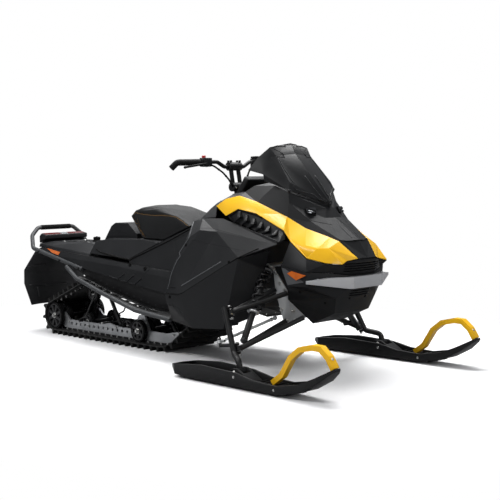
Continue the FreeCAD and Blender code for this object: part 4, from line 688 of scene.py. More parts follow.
def bars_of(name, bars, body, material):
    """One piece of round bars with crisp rims, each between two points."""
    shape = bmesh.new()
    for start, end, radius in bars:
        start, end = Vector(start), Vector(end)
        run = end - start
        lean = run.to_track_quat("Z", "Y").to_matrix().to_4x4()
        bmesh.ops.create_cone(shape, cap_ends=True, segments=20, radius1=radius, radius2=radius,
                              depth=run.length, matrix=Matrix.Translation((start + end) / 2) @ lean)
    return add_piece(name, shape, body, material, crisp=40)


def damper(name, start, end, sizes, replaced=None):
    """Damper with collars, a coil spring and eyes; sizes are its radii, coil turns and spring ends."""
    start, end = Vector(start), Vector(end)
    run = end - start
    along, length = run.normalized(), run.length
    radius, coil_radius, wire, turns, low, high = sizes
    collar_low, collar_high = length * low, length * high
    neck, rod = collar_high * 0.8, radius * 0.45
    place = stood(start, run)
    shell = lathe([(0, 0.006), (radius * 0.8, 0.006), (radius, 0.014), (radius, collar_low),
                   (radius * 0.92, collar_low + 0.004), (radius * 0.92, neck), (radius * 0.6, neck + 0.004),
                   (rod, collar_high * 0.82), (rod, length - 0.012), (0, length - 0.012)], 28)
    shell_piece = add_piece(name + "_tube", shell, "chassis", powder_black, crisp=40, place=place)
    out = coil_radius + wire
    collar = lathe([(radius, collar_low - 0.012), (out * 0.82, collar_low - 0.012), (out, collar_low - 0.009),
                    (out, collar_low - 0.003), (out * 0.9, collar_low), (radius, collar_low)], 28)
    cap = lathe([(rod, collar_high), (out * 0.94, collar_high), (out * 0.98, collar_high + 0.003),
                 (out * 0.9, collar_high + 0.007), (radius * 0.8, collar_high + 0.012),
                 (rod, collar_high + 0.014)], 28)
    stamp(cap, pattern_of(collar), [Matrix.Identity(4)])
    add_piece(name + "_collars", cap, "chassis", bare_aluminium, crisp=35, place=place)
    coil = coil_path(start + run * low, start + run * high, coil_radius, turns)
    add_wires(name + "_spring", [coil], wire, "chassis", spring_steel)
    eye_mesh = pattern_of(lathe([(0.0062, -0.011), (0.0155, -0.011), (0.0165, -0.009), (0.0165, 0.009),
                                 (0.0155, 0.011), (0.0062, 0.011)], 24))
    pin = run.cross(Vector((0, 0, 1))).normalized() if abs(along.y) < 0.3 else Vector((1, 0, 0))
    spots = (start + along * 0.004, end - along * 0.006)
    eyes = stamp(bmesh.new(), eye_mesh, [stood(spot, pin) for spot in spots])
    stamp(eyes, hex_bolt, [stood(spot + pin * 0.011 * way, pin * way, 0.0085) for spot in spots
                           for way in (-1, 1)])
    add_piece(name + "_eyes", eyes, "chassis", powder_grey, crisp=40)
    if replaced:
        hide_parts(replaced)


front_foot, front_shaft = (-0.060, 0.104), (-0.215, 0.325)
rear_foot, rear_shaft = (-0.640, 0.098), (-0.790, 0.338)
carrier_spot = (-0.935, 0.300)
skid_bars = [((x, -0.2027, z), (x, 0.2027, z), 0.011) for x, z in (front_shaft, rear_shaft)]
for side, way in SIDES:
    for low_spot, high_spot, y, radius in ((front_foot, front_shaft, 0.112, 0.012),
                                           (rear_foot, rear_shaft, 0.100, 0.012),
                                           (rear_shaft, carrier_spot, 0.084, 0.008)):
        skid_bars.append(((low_spot[0], way * y, low_spot[1]), (high_spot[0], way * y, high_spot[1]), radius))
for (x, z), half in ((front_foot, 0.124), (rear_foot, 0.112), (carrier_spot, 0.094)):
    skid_bars.append(((x, -half, z), (x, half, z), 0.016))
arm_tubes = bars_of("skid_arm_tubes", skid_bars, "chassis", powder_black)
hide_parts("skid_arms")
damper("front_skid_damper", (-0.060, 0, 0.104), (-0.215, 0, 0.325), (0.016, 0.026, 0.0045, 6.5, 0.34, 0.86))
damper("rear_skid_damper", (-0.640, 0, 0.098), (-0.215, 0, 0.325), (0.019, 0.029, 0.005, 7.5, 0.42, 0.88))
torsion_paths = []
for side, way in SIDES:
    turns = coil_path((rear_shaft[0], way * 0.112, rear_shaft[1]),
                      (rear_shaft[0], way * 0.150, rear_shaft[1]), 0.027, 4.25, 0)
    leg_start = turns[-1]
    turns += [leg_start + Vector((-0.05, 0, -0.055)), Vector((-0.965, way * 0.150, 0.142)),
              Vector((-1.040, way * 0.150, 0.116))]
    torsion_paths.append(turns)
add_wires("torsion_springs", torsion_paths, 0.0055, "chassis", spring_steel)
leg_rests = [((-1.025, way * 0.1412, 0.110), (-1.025, way * 0.164, 0.110), 0.009) for side, way in SIDES]
bars_of("torsion_leg_rests", leg_rests, "chassis", powder_black)

# Tunnel: folded sheet over the track, coated black, with a row of domed rivets along each side
# above the running board.
dress("tunnel", powder_black)
board_line = [(-0.865, 0.410), (-0.573, 0.340), (-0.176, 0.261), (0.187, 0.233)]


def height_at(line, x):
    """Height of a line of the side view at a place along it."""
    for (x0, z0), (x1, z1) in zip(line, line[1:]):
        if (x1 - x) * (x1 - x0) >= 0:
            break
    return z0 + (z1 - z0) * (x - x0) / (x1 - x0)


tunnel_half = 0.206
rivet_rise, rivet_pitch, rivet_count = 0.024, 0.07, 15
rivet_line = [-0.84 + index * rivet_pitch for index in range(rivet_count)]
rivet_spots = [(x, height_at(board_line, x) + rivet_rise) for x in rivet_line]
stamped("tunnel_rivets", rivet_head, side_places(rivet_spots, tunnel_half, 0.0045), "chassis", powder_grey)

# Running boards: pressed sheet with oblong holes, edged by a bent tube. Rows of punched teeth
# stand along the holes, to grip a boot, and screws hold the toe end.
tooth = bmesh.new()
bmesh.ops.create_cone(tooth, cap_ends=True, segments=4, radius1=0.0045, radius2=0.0015, depth=0.0045,
                      matrix=Matrix.Translation((0, 0, 0.00225)))
tooth_mesh = pattern_of(tooth)
hole_first_x, hole_pitch, hole_rows, teeth_in_row = -0.7715, 0.0794, 10, 6
for side, way in SIDES:
    soften(f"running_board_{side}", f"foot_board_{side}", powder_black, 0.0008, 1)
    dress(f"board_tube_{side}", powder_grey)
    tooth_places = []
    for row in range(hole_rows):
        for index in range(teeth_in_row):
            x = hole_first_x + row * hole_pitch + (index - (teeth_in_row - 1) / 2) * 0.0105
            middle_y = 0.252 + (x + 0.865) / 1.052 * 0.028
            for edge in (-1, 1):
                met = cast([f"running_board_{side}"], (x, way * (middle_y + edge * 0.0185), 0.7), (0, 0, -1))
                if met:
                    tooth_places.append(stood(met[0], met[1], 1.0, math.pi / 4))
    stamped(f"board_teeth_{side}", tooth_mesh, tooth_places, "chassis", powder_black)
    toe_spots = [(x, way * y, 0.7) for x, y in ((0.20, 0.235), (0.20, 0.315), (0.34, 0.235), (0.34, 0.315))]
    stamped(f"board_screws_{side}", round_screw, stood_under(f"running_board_{side}", toe_spots, 0.0065),
            "chassis", zinc_steel)

# Rear bumper: bent tube that is also the lifting handle, with a black foam sleeve on its top run
# and hexagon bolts through the tunnel's sides.
dress("rear_bumper", powder_grey)
sleeve_radius, sleeve_half = 0.0168, 0.118
sleeve_profile = [(0.0142, -sleeve_half), (0.0158, -sleeve_half), (sleeve_radius, -sleeve_half + 0.003)]
for index in range(22):
    level = -sleeve_half + 0.012 + index * 0.0102
    sleeve_profile += [(sleeve_radius, level - 0.0016), (0.0159, level), (sleeve_radius, level + 0.0016)]
sleeve_profile += [(sleeve_radius, sleeve_half - 0.003), (0.0158, sleeve_half), (0.0142, sleeve_half)]
add_piece("bumper_sleeve", lathe(sleeve_profile, 24), "chassis", deep_black, smooth=True,
          place=stood((-1.540, 0, 0.716), (0, 1, 0)))
bumper_bolt_spots = [(-0.900, 0.4675), (-1.120, 0.5107), (-1.380, 0.5615)]
stamped("bumper_bolts", hex_bolt, side_places(bumper_bolt_spots, 0.2375, 0.009, 0.2), "chassis", powder_black)

# Snow flap: thick moulded sheet behind the track. Beads part its wings and its foot, ribs stiffen
# its back, and screws hold its upper edge.
flap_sheet = finish_of("flap_sheet", (0.016, 0.0165, 0.0175), (0.024, 0.0245, 0.0255), (0.42, 0.58), 260, 0.3,
                       specular=0.35)
flap_lines = [[(29.5, 285), (48, 284), (66.9, 282.9)], [(27.5, 266.8), (36, 265.4), (44.5, 264)],
              [(37.5, 287.1), (38.8, 292), (39.6, 297)]]
flap_beads = [drawn_on(["snow_flap"], line) for line in flap_lines]
soften("snow_flap", "flap_panel", flap_sheet, 0.004, 3)
add_wires("flap_beads", both(flap_beads), 0.005, "chassis", flap_sheet)
rib_starts = [[(-2.0, y * half / 3, level) for y in range(-3, 4)]
              for level, half in ((0.520, 0.17), (0.470, 0.17), (0.300, 0.13), (0.250, 0.13))]
rib_starts += [[(-2.0, y, 0.42 - index * 0.04) for index in range(6)] for y in (-0.16, 0.16)]
flap_ribs = []
for starts in rib_starts:
    mets = [cast(["snow_flap"], start, (1, 0, 0)) for start in starts]
    flap_ribs.append([met[0] for met in mets if met])
add_wires("flap_ribs", [rib for rib in flap_ribs if len(rib) > 1], 0.0035, "chassis", flap_sheet)
flap_screw_spots = [(-1.43, y, 0.9) for y in (-0.17, -0.06, 0.06, 0.17)]
stamped("flap_screws", round_screw, stood_under("snow_flap", flap_screw_spots, 0.008), "chassis", zinc_steel)

# Side covers: long moulded strips over the tunnel's sides, with a hatch seam, three hooked ribs
# for the boot, and two round quarter-turn fasteners.
hatch_line = [(145.4, 272.8), (152.4, 267.2), (160, 268.6), (168.6, 270.4)]
hook_lines = [[(109.5, 276), (116.5, 279.4), (125, 273.4)], [(119, 280.3), (124.9, 283.2), (134.2, 275)],
              [(127.8, 284.2), (132.6, 286), (141.5, 278.4)]]
fastener_spots = [(130.2, 264.7), (145.2, 268.7)]
cover_nodes = ["side_cover_right"]
hatch_path = drawn_on(cover_nodes, hatch_line)
hook_paths = [drawn_on(cover_nodes, line, step=2.0) for line in hook_lines]
fastener_mets = [seen_on(cover_nodes, *spot) for spot in fastener_spots]
quarter_turn = pattern_of(lathe([(0, 0.12), (0.34, 0.12), (0.38, 0.34), (0.7, 0.32), (0.76, 0.1), (0.86, 0.1),
                                 (0.92, 0.3), (1.0, 0.26), (1.02, 0), (0, 0)], 24))
for side, way in SIDES:
    turn_over = mirrored if way > 0 else list
    soften(f"side_cover_{side}", f"tunnel_cover_{side}", satin_black, 0.003, 3,
           seams=[turn_over(hatch_path)], seam=0.0022)
    add_wires(f"boot_ribs_{side}", [turn_over(path) for path in hook_paths], 0.0042, "chassis", satin_black)
    stamped(f"cover_fasteners_{side}", quarter_turn, paired(fastener_mets, 0.012, ways=(way,)), "chassis",
            deep_black)

# Rack deck: moulded cover of the tunnel's rear, with recessed pockets, a rim ring at each of its
# four accessory holes, moulded tread lines, and a turn-lock knob for luggage.
deck_piece = soften("rack_deck", "deck_cover", satin_black, 0.004, 3)
deck_top, pocket_deep = 0.624, 0.006
pocket_cutter = bmesh.new()
for x in (-1.245, -1.188, -1.112, -1.055):
    for way in (-1, 1):
        add_box(pocket_cutter, (x, way * 0.058, deck_top), (0.036, 0.078, pocket_deep * 2))
bmesh.ops.bevel(pocket_cutter, geom=[edge for edge in pocket_cutter.edges
                                     if abs(edge.verts[0].co.z - edge.verts[1].co.z) > pocket_deep],
                offset=0.007, affect="EDGES", segments=3, profile=0.5, material=-1)
pocket_piece = add_piece("deck_pocket_tool", pocket_cutter, None)
settle(deck_piece)
pockets = deck_piece.modifiers.new("pockets", "BOOLEAN")
pockets.operation, pockets.solver, pockets.object = "DIFFERENCE", "EXACT", pocket_piece
settle(deck_piece)
bpy.data.objects.remove(pocket_piece)
rim_ring = pattern_of(lathe([(0.0056, 0.0002), (0.0056, 0.0022), (0.0100, 0.0022), (0.0114, 0.0002)], 28))
rim_places = [stood((-1.150 + way_x * 0.150, way_y * 0.085, deck_top), (0, 0, 1)) for way_x in (-1, 1)
              for way_y in (-1, 1)]
stamped("rack_hole_rims", rim_ring, rim_places, "chassis", zinc_steel)
tread_lines = []
for x0, x1 in ((-1.330, -1.318), (-0.985, -0.972)):
    for y in (-0.075, -0.025, 0.025, 0.075):
        tread_lines.append([(x0, y - 0.018, deck_top), (x1, y, deck_top), (x0, y + 0.018, deck_top)])
for way in (-1, 1):
    tread_lines.append([(-1.335, way * 0.106, deck_top), (-0.965, way * 0.106, deck_top)])
add_wires("deck_tread", tread_lines, 0.0022, "chassis", satin_black)
knob_mesh = pattern_of(lathe([(0, 0.034), (0.006, 0.0335), (0.008, 0.031), (0.020, 0.031), (0.0235, 0.027),
                              (0.0245, 0.020), (0.0225, 0.014), (0.0245, 0.009), (0.030, 0.006), (0.031, 0),
                              (0, 0)], 32))
stamped("deck_knob", knob_mesh, [stood((-1.030, 0, deck_top), (0, 0, 1))], "chassis", deep_black)
stamped("deck_knob_screw", round_screw, [stood((-1.030, 0, deck_top + 0.0335), (0, 0, 1), 0.005)], "chassis",
        zinc_steel)

# Tail lamp: black housing with two red lenses that wrap from its top over its rear, and a small
# clear one between them for the plate place. The lenses are fluted inside.
soften("tail_lamp", "tail_housing", satin_black, 0.005, 3)


def lens_finish(name, colour, deep):
    """Glossy lens with fine upright flutes and a darker depth behind it."""
    material = finish_of(name, colour, deep, (0.1, 0.16), 220, 0.05, coat=1.0)
    tree = material.node_tree
    surface = tree.nodes["Principled BSDF"]
    place = add_node(tree, "TexCoord").outputs["Object"]
    flutes = add_node(tree, "TexWave", {"Vector": place, "Scale": 55}, bands_direction="Y").outputs["Fac"]
    tree.links.new(colour_between(tree, flutes, colour, deep), surface.inputs["Base Color"])
    bumps = surface.inputs["Normal"].links[0].from_node
    bumps.inputs["Strength"].default_value = 0.3
    tree.links.new(flutes, bumps.inputs["Height"])
    return material


lens_red = lens_finish("red_lens", (0.22, 0.012, 0.012), (0.06, 0.004, 0.004))
lens_clear = lens_finish("clear_lens", (0.55, 0.58, 0.6), (0.2, 0.21, 0.22))
lens_band = [(-1.4795, 0.622), (-1.4795, 0.6605), (-1.4560, 0.6796), (-1.4120, 0.6716), (-1.4125, 0.6690),
             (-1.4550, 0.6768), (-1.4768, 0.6594), (-1.4768, 0.622)]


def extruded(outline, low_y, high_y):
    """Upright outline of the side view carried across from one side offset to the other."""
    shape = bmesh.new()
    face = shape.faces.new([shape.verts.new((x, low_y, z)) for x, z in outline])
    carried = bmesh.ops.extrude_face_region(shape, geom=[face])
    bmesh.ops.translate(shape, vec=(0, high_y - low_y, 0),
                        verts=[item for item in carried["geom"] if isinstance(item, bmesh.types.BMVert)])
    bmesh.ops.recalc_face_normals(shape, faces=shape.faces)
    bmesh.ops.bevel(shape, geom=shape.edges, offset=0.0006, affect="EDGES", segments=1, profile=0.5,
                    material=-1)
    return shape


for side, low_y, high_y in (("right", -0.158, -0.032), ("left", 0.032, 0.158)):
    add_piece(f"tail_lens_{side}", extruded(lens_band, low_y, high_y), "chassis", lens_red)
add_piece("tail_lens_middle", extruded(lens_band, -0.027, 0.027), "chassis", lens_clear)

# Seat base: moulded tier with an angular box behind the seat. Seams part the box from the tier,
# and a soft black seal closes the gap between the tier and the covers.
base_lines = [[(111.6, 227.6), (118.7, 232.3), (127.4, 233.2)],
              [(107.6, 236.9), (118, 236.4), (128.6, 236.3)]]
base_seams = both([drawn_on(["seat_base"], line) for line in base_lines])
soften("seat_base", "seat_tier", satin_black, 0.005, 3, seams=base_seams, seam=0.0022)
seal_line = [(96.2, 249), (100.6, 252), (114, 256.2), (128.6, 260.2), (149, 250.6), (169.2, 240.6),
             (189.6, 229.2)]
seal_path = drawn_on(["seat_base", "tank_cover", "side_cover_right", "seat"], seal_line, lift=-0.001, step=5)
add_wires("seat_seal", both([seal_path]), 0.0052, "chassis", deep_black)

# Seat: one foam cushion under grained vinyl, sewn from a top panel and side panels. The cover is
# blown up a little inside its seams, and gold thread runs along them.
seat_vinyl = finish_of("seat_vinyl", (0.006, 0.0063, 0.0068), (0.0095, 0.0099, 0.0104), (0.52, 0.66), 1100,
                       0.35, specular=0.2)
seat_lines = [[(132.8, 211.6), (141.6, 213.7), (152.3, 214.9), (165.3, 214.7), (175.3, 215.7), (183.7, 221),
               (189.2, 226.6)],
              [(132.7, 212), (133.4, 219.7), (136.5, 229.1), (141.2, 237)],
              [(136.8, 218), (140, 229.4), (144.4, 236.6)]]
seat_seams = both([drawn_on(["seat"], line, step=2.0) for line in seat_lines])
seam_spots = [spot for path in seat_seams[:2] + seat_seams[3:5] for spot in path]
seat_bottom = [(0.134, 0.748), (-0.130, 0.6564), (-0.339, 0.6634), (-0.457, 0.806)]
seat_shape = bmesh.new()
seat_shape.from_mesh(nodes["seat"].data)
bmesh.ops.remove_doubles(seat_shape, verts=seat_shape.verts, dist=0.00002)
bmesh.ops.dissolve_limit(seat_shape, angle_limit=math.radians(1), verts=seat_shape.verts,
                         edges=seat_shape.edges)
cushion = add_piece("seat_cushion", seat_shape, "chassis", seat_vinyl, smooth=True)
foam_inset, seat_voxel, seat_swell, seat_top = 0.007, 0.006, 0.013, 0.872
base_band, base_gap, held_reach, crease_reach, crease_deep = 0.012, 0.0006, 0.018, 0.012, 0.0022


def seam_distance(spot):
    """How far a point of the cover lies from the nearest seam."""
    return min((spot - other).length for other in seam_spots)


even = cushion.modifiers.new("even_mesh", "REMESH")
even.mode = "VOXEL"
even.voxel_size = seat_voxel
settle(cushion)
cushion.data.shade_smooth()
rest_spots = []
for vertex in cushion.data.vertices:
    sunk = vertex.co - vertex.normal * foam_inset
    if vertex.co.z < height_at(seat_bottom, vertex.co.x) + base_band:
        sunk = vertex.co.copy()
        sunk.z = max(sunk.z, height_at(seat_bottom, sunk.x) + base_gap)
    rest_spots.append(sunk)
for vertex, spot in zip(cushion.data.vertices, rest_spots):
    vertex.co = spot
held = cushion.vertex_groups.new(name="held")
for vertex in cushion.data.vertices:
    near = seam_distance(vertex.co)
    low_part = vertex.co.z < height_at(seat_bottom, vertex.co.x) + base_band
    if near < held_reach or low_part:
        held.add([vertex.index], 1.0 if low_part else max(0.0, 1 - near / held_reach), "REPLACE")
cover = cushion.modifiers.new("cover", "CLOTH")
cover.settings.use_pressure = True
cover.settings.uniform_pressure_force = 4
cover.settings.effector_weights.gravity = 0
cover.settings.vertex_group_mass = "held"
cover.point_cache.frame_start = 1
cover.point_cache.frame_end = 20
for number in range(1, 21):
    scene.frame_set(number)
settle(cushion)
scene.frame_set(1)
for vertex, spot in zip(cushion.data.vertices, rest_spots):
    moved = vertex.co - spot
    if moved.length > seat_swell:
        vertex.co = spot + moved.normalized() * seat_swell
    vertex.co.z = max(vertex.co.z, height_at(seat_bottom, vertex.co.x) + base_gap)
    vertex.co.z = min(vertex.co.z, seat_top)
cushion_shape = bmesh.new()
cushion_shape.from_mesh(cushion.data)
for turn in range(2):
    bmesh.ops.smooth_vert(cushion_shape, verts=cushion_shape.verts, factor=0.5, use_axis_x=True,
                          use_axis_y=True, use_axis_z=True)
for vertex in cushion_shape.verts:
    near = seam_distance(vertex.co)
    if near < crease_reach:
        vertex.co -= vertex.normal * crease_deep * (1 - near / crease_reach)
cushion_shape.to_mesh(cushion.data)
cushion_shape.free()
finer = cushion.modifiers.new("finer", "SUBSURF")
finer.levels = 1
finer.render_levels = 1
settle(cushion)
cushion.data.shade_smooth()
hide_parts("seat")
cushion_tree = BVHTree.FromPolygons([v.co for v in cushion.data.vertices],
                                    [p.vertices for p in cushion.data.polygons])


def laid_on_cushion(path, lift):
    """A seam's path moved onto the finished cover."""
    laid = []
    for spot in path:
        near = cushion_tree.find_nearest(spot)
        laid.append(near[0] + near[1] * lift)
    return laid


def stitched(path, long, gap, lift):
    """Short stitches at even steps along a path, each sunk at its ends."""
    stitches = []
    for first, final in zip(path, path[1:]):
        run = (final - first).length
        count = max(1, round(run / (long + gap)))
        for index in range(count):
            start = first.lerp(final, index / count)
            end = first.lerp(final, (index + long / (long + gap)) / count)
            rise = cushion_tree.find_nearest(start)[1] * lift
            stitches.append([start - rise, start.lerp(end, 0.5) + rise * 0.6, end - rise])
    return stitches


gold_thread = finish_of("gold_thread", (0.42, 0.22, 0.035), (0.36, 0.18, 0.03), (0.5, 0.62), 2500, 0.3)
laid_seams = [laid_on_cushion(path, 0.0004) for path in seat_seams]
add_wires("seat_seam_lines", laid_seams, 0.0011, "chassis", deep_black, sides=1)
stitch_paths = []
for path in laid_seams:
    shifted = [cushion_tree.find_nearest(spot + Vector((0, 0, -0.0045)))[0] for spot in path]
    for row in (path, shifted):
        stitch_paths += stitched(row, 0.0052, 0.0018, 0.0006)
add_wires("seat_stitches", stitch_paths, 0.0009, "chassis", gold_thread, sides=1)

# Tank cover: moulded shroud between the seat base and the console, with a fold line and a seam
# that parts its upper corner.
tank_lines = [[(173.4, 242.8), (174.8, 254)], [(173.6, 241.3), (187.4, 233.4)]]
tank_seams = both([drawn_on(["tank_cover"], line) for line in tank_lines])
soften("tank_cover", "tank_shroud", satin_black, 0.006, 3, seams=tank_seams, seam=0.002)

# Console: moulded shroud round the steering column. It carries the rider's display under a
# tinted lens, a key switch, a start button and the heater switches.
console_lines = [[(244.4, 193.2), (249.6, 189.6), (254.7, 186.3)], [(256.1, 197.4), (264.6, 191.5)]]
console_seams = both([drawn_on(["console"], line) for line in console_lines])
soften("console", "console_shroud", satin_black, 0.004, 3, seams=console_seams, seam=0.0018)
gloss_black = finish_of("gloss_black", (0.004, 0.004, 0.0045), (0.006, 0.006, 0.0065), (0.08, 0.14), 200,
                        0.02, coat=0.6, specular=0.4)


def set_box(name, sizes, edge, place, body, material, segments=3):
    """One box with rounded edges at its place."""
    shape = add_box(bmesh.new(), (0, 0, 0), sizes)
    bmesh.ops.bevel(shape, geom=shape.edges, offset=edge, affect="EDGES", segments=segments, profile=0.5,
                    material=-1)
    return add_piece(name, shape, body, material, crisp=50, place=place)


display_lean = Matrix.Rotation(math.radians(-52), 4, "Y")
display_place = Matrix.Translation((0.512, 0, 0.966)) @ display_lean
set_box("display_housing", (0.112, 0.190, 0.040), 0.010, display_place, "chassis", satin_black)
set_box("display_lens", (0.084, 0.156, 0.006), 0.0025, display_place @ Matrix.Translation((0.004, 0, 0.0195)),
        "chassis", gloss_black)
for index, way in enumerate((-1, 1)):
    set_box(f"display_key_{index}", (0.012, 0.020, 0.006), 0.002,
            display_place @ Matrix.Translation((-0.047, way * 0.045, 0.0205)), "chassis", deep_black)
switch_mesh = pattern_of(lathe([(0, 0.006), (0.005, 0.006), (0.0055, 0.003), (0.011, 0.003), (0.0125, 0.007),
                                (0.0150, 0.007), (0.0165, 0.002), (0.0165, -0.002), (0, -0.002)], 28))
switch_places = stood_under("console", [(0.335, y, 1.4) for y in (-0.105, 0.105)])
stamped("console_switches", switch_mesh, switch_places, "chassis", zinc_steel)
for index, place in enumerate(stood_under("console", [(0.362, y, 1.4) for y in (-0.125, 0.125)])):
    set_box(f"heater_switch_{index}", (0.016, 0.028, 0.008), 0.003, place, "chassis", deep_black)

# Handlebar: steel bar clamped on two tall riser posts, coated black. Four screws close the clamp,
# whose parting lines show, and two bolts hold the riser's foot to the column.
dress("handlebar", powder_black)
bar_x, parting_half = 0.348, 0.0455
clamp_screws = [stood((bar_x + shift, y, 1.1015), (0, 0, 1), 0.0068)
                for shift in (-0.011, 0.011) for y in (-0.033, 0.033)]
cap_screw = pattern_of(lathe([(0, 0.7), (0.45, 0.7), (0.5, 1.45), (0.9, 1.45), (1.0, 1.3), (1.0, 0),
                              (0, 0)], 20))
stamped("clamp_screws", cap_screw, clamp_screws, "handlebar", powder_black)
foot_mets = [cast(["handlebar"], (0.9, y, 0.985), (-1, 0, -0.05)) for y in (-0.030, 0.030)]
foot_places = [stood(*met, 0.0065) for met in foot_mets if met]
stamped("riser_foot_bolts", hex_bolt, foot_places, "handlebar", zinc_steel)
parting_lines = [[(x, -parting_half, 1.078), (x, parting_half, 1.078)] for x in (0.3228, 0.3732)]
add_wires("clamp_parting", parting_lines, 0.0014, "handlebar", deep_black, sides=1)

# Hand controls: ribbed rubber grips, a brake lever with its fluid box on the left, a throttle
# lever and a stop switch on the right, rocker switches, and ties round the control cables.
grip_rubber = finish_of("grip_rubber", (0.005, 0.005, 0.005), (0.009, 0.009, 0.009), (0.6, 0.75), 700, 0.4,
                        specular=0.18)
dress("hand_controls", grip_rubber)
grip_ring = pattern_of(lathe([(0.0160, -0.0022), (0.0178, -0.0016), (0.0178, 0.0016), (0.0160, 0.0022)], 24))
grip_start, grip_stop, ring_count = Vector((0.3180, -0.236, 1.1019)), Vector((0.2935, -0.348, 1.1010)), 15
ring_places = []
for side, way in SIDES:
    for index in range(ring_count):
        spot = grip_start.lerp(grip_stop, index / (ring_count - 1))
        ring_places.append(stood(side_of(spot, way), side_of(grip_stop - grip_start, way)))
stamped("grip_rings", grip_ring, ring_places, "handlebar", grip_rubber)
flange = pattern_of(lathe([(0.0150, -0.003), (0.0225, -0.003), (0.0240, -0.0015), (0.0240, 0.0015),
                           (0.0225, 0.003), (0.0150, 0.003)], 28))
flange_places = [stood((0.3212, way * 0.2195, 1.1021), (0.218, -way * 1.0, 0)) for side, way in SIDES]
stamped("grip_flanges", flange, flange_places, "handlebar", grip_rubber)
control_y, lever_y = 0.190, 0.200
for side, way in SIDES:
    set_box(f"control_case_{side}", (0.047, 0.055, 0.049), 0.008,
            Matrix.Translation((0.328, way * control_y, 1.101)), "handlebar", satin_black)
    for index, level in enumerate((1.112, 1.094)):
        set_box(f"rocker_{side}_{index}", (0.005, 0.026, 0.012), 0.002,
                Matrix.Translation((0.3045, way * control_y, level)), "handlebar", deep_black, 2)
    screw_places = [stood((0.328 + shift_x, way * (control_y + shift_y), 1.0768), (0, 0, -1), 0.0038)
                    for shift_x, shift_y in ((-0.015, -0.018), (0.015, 0.018))]
    stamped(f"control_screws_{side}", round_screw, screw_places, "handlebar", zinc_steel)
stop_red = finish_of("stop_switch_red", (0.50, 0.015, 0.012), (0.40, 0.012, 0.010), (0.25, 0.35), 300, 0.05)
cap_mesh = pattern_of(lathe([(0, 0.0150), (0.0085, 0.0150), (0.0110, 0.0130), (0.0115, 0.0050),
                             (0.0104, 0.0040), (0.0104, 0.0010), (0, 0.0010)], 28))
stamped("stop_switch_cap", cap_mesh, [stood((0.318, -0.196, 1.124), (0, 0, 1))], "handlebar", stop_red)
reservoir_place = Matrix.Translation((0.330, 0.182, 1.1305)) @ Matrix.Rotation(0.15, 4, "Z")
set_box("brake_fluid_box", (0.036, 0.046, 0.012), 0.004, reservoir_place, "handlebar", satin_black)
lid_screws = [stood((0.330 + shift, 0.182 + shift * 1.2, 1.1362), (0, 0, 1), 0.0026)
              for shift in (-0.011, 0.011)]
stamped("brake_box_screws", round_screw, lid_screws, "handlebar", zinc_steel)
lever_parts = bmesh.new()
for side, way in SIDES:
    bmesh.ops.create_icosphere(lever_parts, subdivisions=3, radius=0.0078,
                               matrix=Matrix.Translation((0.330, way * 0.340, 1.074)))
    bmesh.ops.create_cone(lever_parts, cap_ends=True, segments=24, radius1=0.0095, radius2=0.0095,
                          depth=0.018, matrix=Matrix.Translation((0.3445, way * lever_y, 1.0945)))
add_piece("lever_ends", lever_parts, "handlebar", powder_black, crisp=40)
pivot_places = [stood((0.3445, way * lever_y, 1.1035), (0, 0, 1), 0.0062) for side, way in SIDES]
stamped("lever_pivots", hex_bolt, pivot_places, "handlebar", zinc_steel)
tie_ring = pattern_of(lathe([(0.0048, -0.0025), (0.0064, -0.0022), (0.0064, 0.0022), (0.0048, 0.0025)], 16))
tie_spots = [((0.352, -0.119, 1.061), (0.020, 0.042, -0.034)),
             ((0.369, -0.082, 1.024), (0.014, 0.032, -0.040))]
stamped("cable_ties", tie_ring, paired(tie_spots, 1.0), "handlebar", deep_black)

# Windshield: half-matt smoked sheet, folded from a centre panel and two wings, on four screws. A
# satin moulded border runs round it and along the fold lines of its centre panel.
smoked_gloss = finish_of("smoked_screen", (0.0065, 0.0068, 0.0074), (0.009, 0.0094, 0.01), (0.34, 0.42), 150,
                         0.02, coat=0.06, specular=0.3)
screen_edge_line = [(311.2, 158), (320.1, 169.4), (331.3, 185.4), (333.7, 192), (337.7, 196.5),
                    (342.3, 203.2), (344.5, 216)]
screen_lip_line = [(290.6, 144), (298.7, 145.2), (306.2, 148), (310.4, 152.6), (310.9, 157)]
screen_foot_line = [(290, 190.8), (300, 194.7), (310.1, 198.8), (323.5, 203.4), (332.4, 204.2)]
screen_fold_line = [(314.8, 175.4), (322.1, 186), (329.3, 197.4), (331, 202.4)]
screen_lines = (screen_edge_line, screen_lip_line, screen_foot_line, screen_fold_line)
screen_paths = [drawn_on(["windshield"], line) for line in screen_lines]
soften("windshield", "smoked_screen", smoked_gloss, 0.0012, 2)
add_wires("screen_border", both(screen_paths), 0.0026, "chassis", satin_black)
screen_screws = [seen_on(["windshield"], *spot) for spot in ((298, 195.3), (318, 202.6))]
stamped("screen_screws", round_screw, paired(screen_screws, 0.0055), "chassis", deep_black)

# Hood: moulded skin that carries the windshield and the headlamps. Seams follow its folds, and
# the lamps are dark glossy lenses with two light bars each, in black bezels.
hood_lines = [[(306.2, 214.9), (311.4, 220.9), (322, 222.9), (332.6, 225)],
              [(336, 218.6), (341, 227.4), (352, 238.4)]]
hood_seams = both([drawn_on(["hood"], line) for line in hood_lines])
soften("hood", "hood_skin", satin_black, 0.004, 3, seams=hood_seams, seam=0.002)
lamp_clear = finish_of("lamp_lens", (0.018, 0.019, 0.021), (0.03, 0.031, 0.034), (0.06, 0.1), 120, 0.05,
                       coat=0.8)
dress("headlights", lamp_clear)
lamp_low, lamp_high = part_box("headlights")
lamp_bar = finish_of("lamp_bar", (0.75, 0.78, 0.82), (0.6, 0.62, 0.65), (0.1, 0.2), 200, 0.02, coat=0.5)
bar_marks = [drawn_on(["headlights"], line, lift=0.0005, step=1.0)
             for line in ([(308.6, 210.4), (312.6, 211.4)], [(309.2, 212.4), (311.6, 212.9)])]
add_wires("lamp_bars", both(bar_marks), 0.0026, "chassis", lamp_bar)
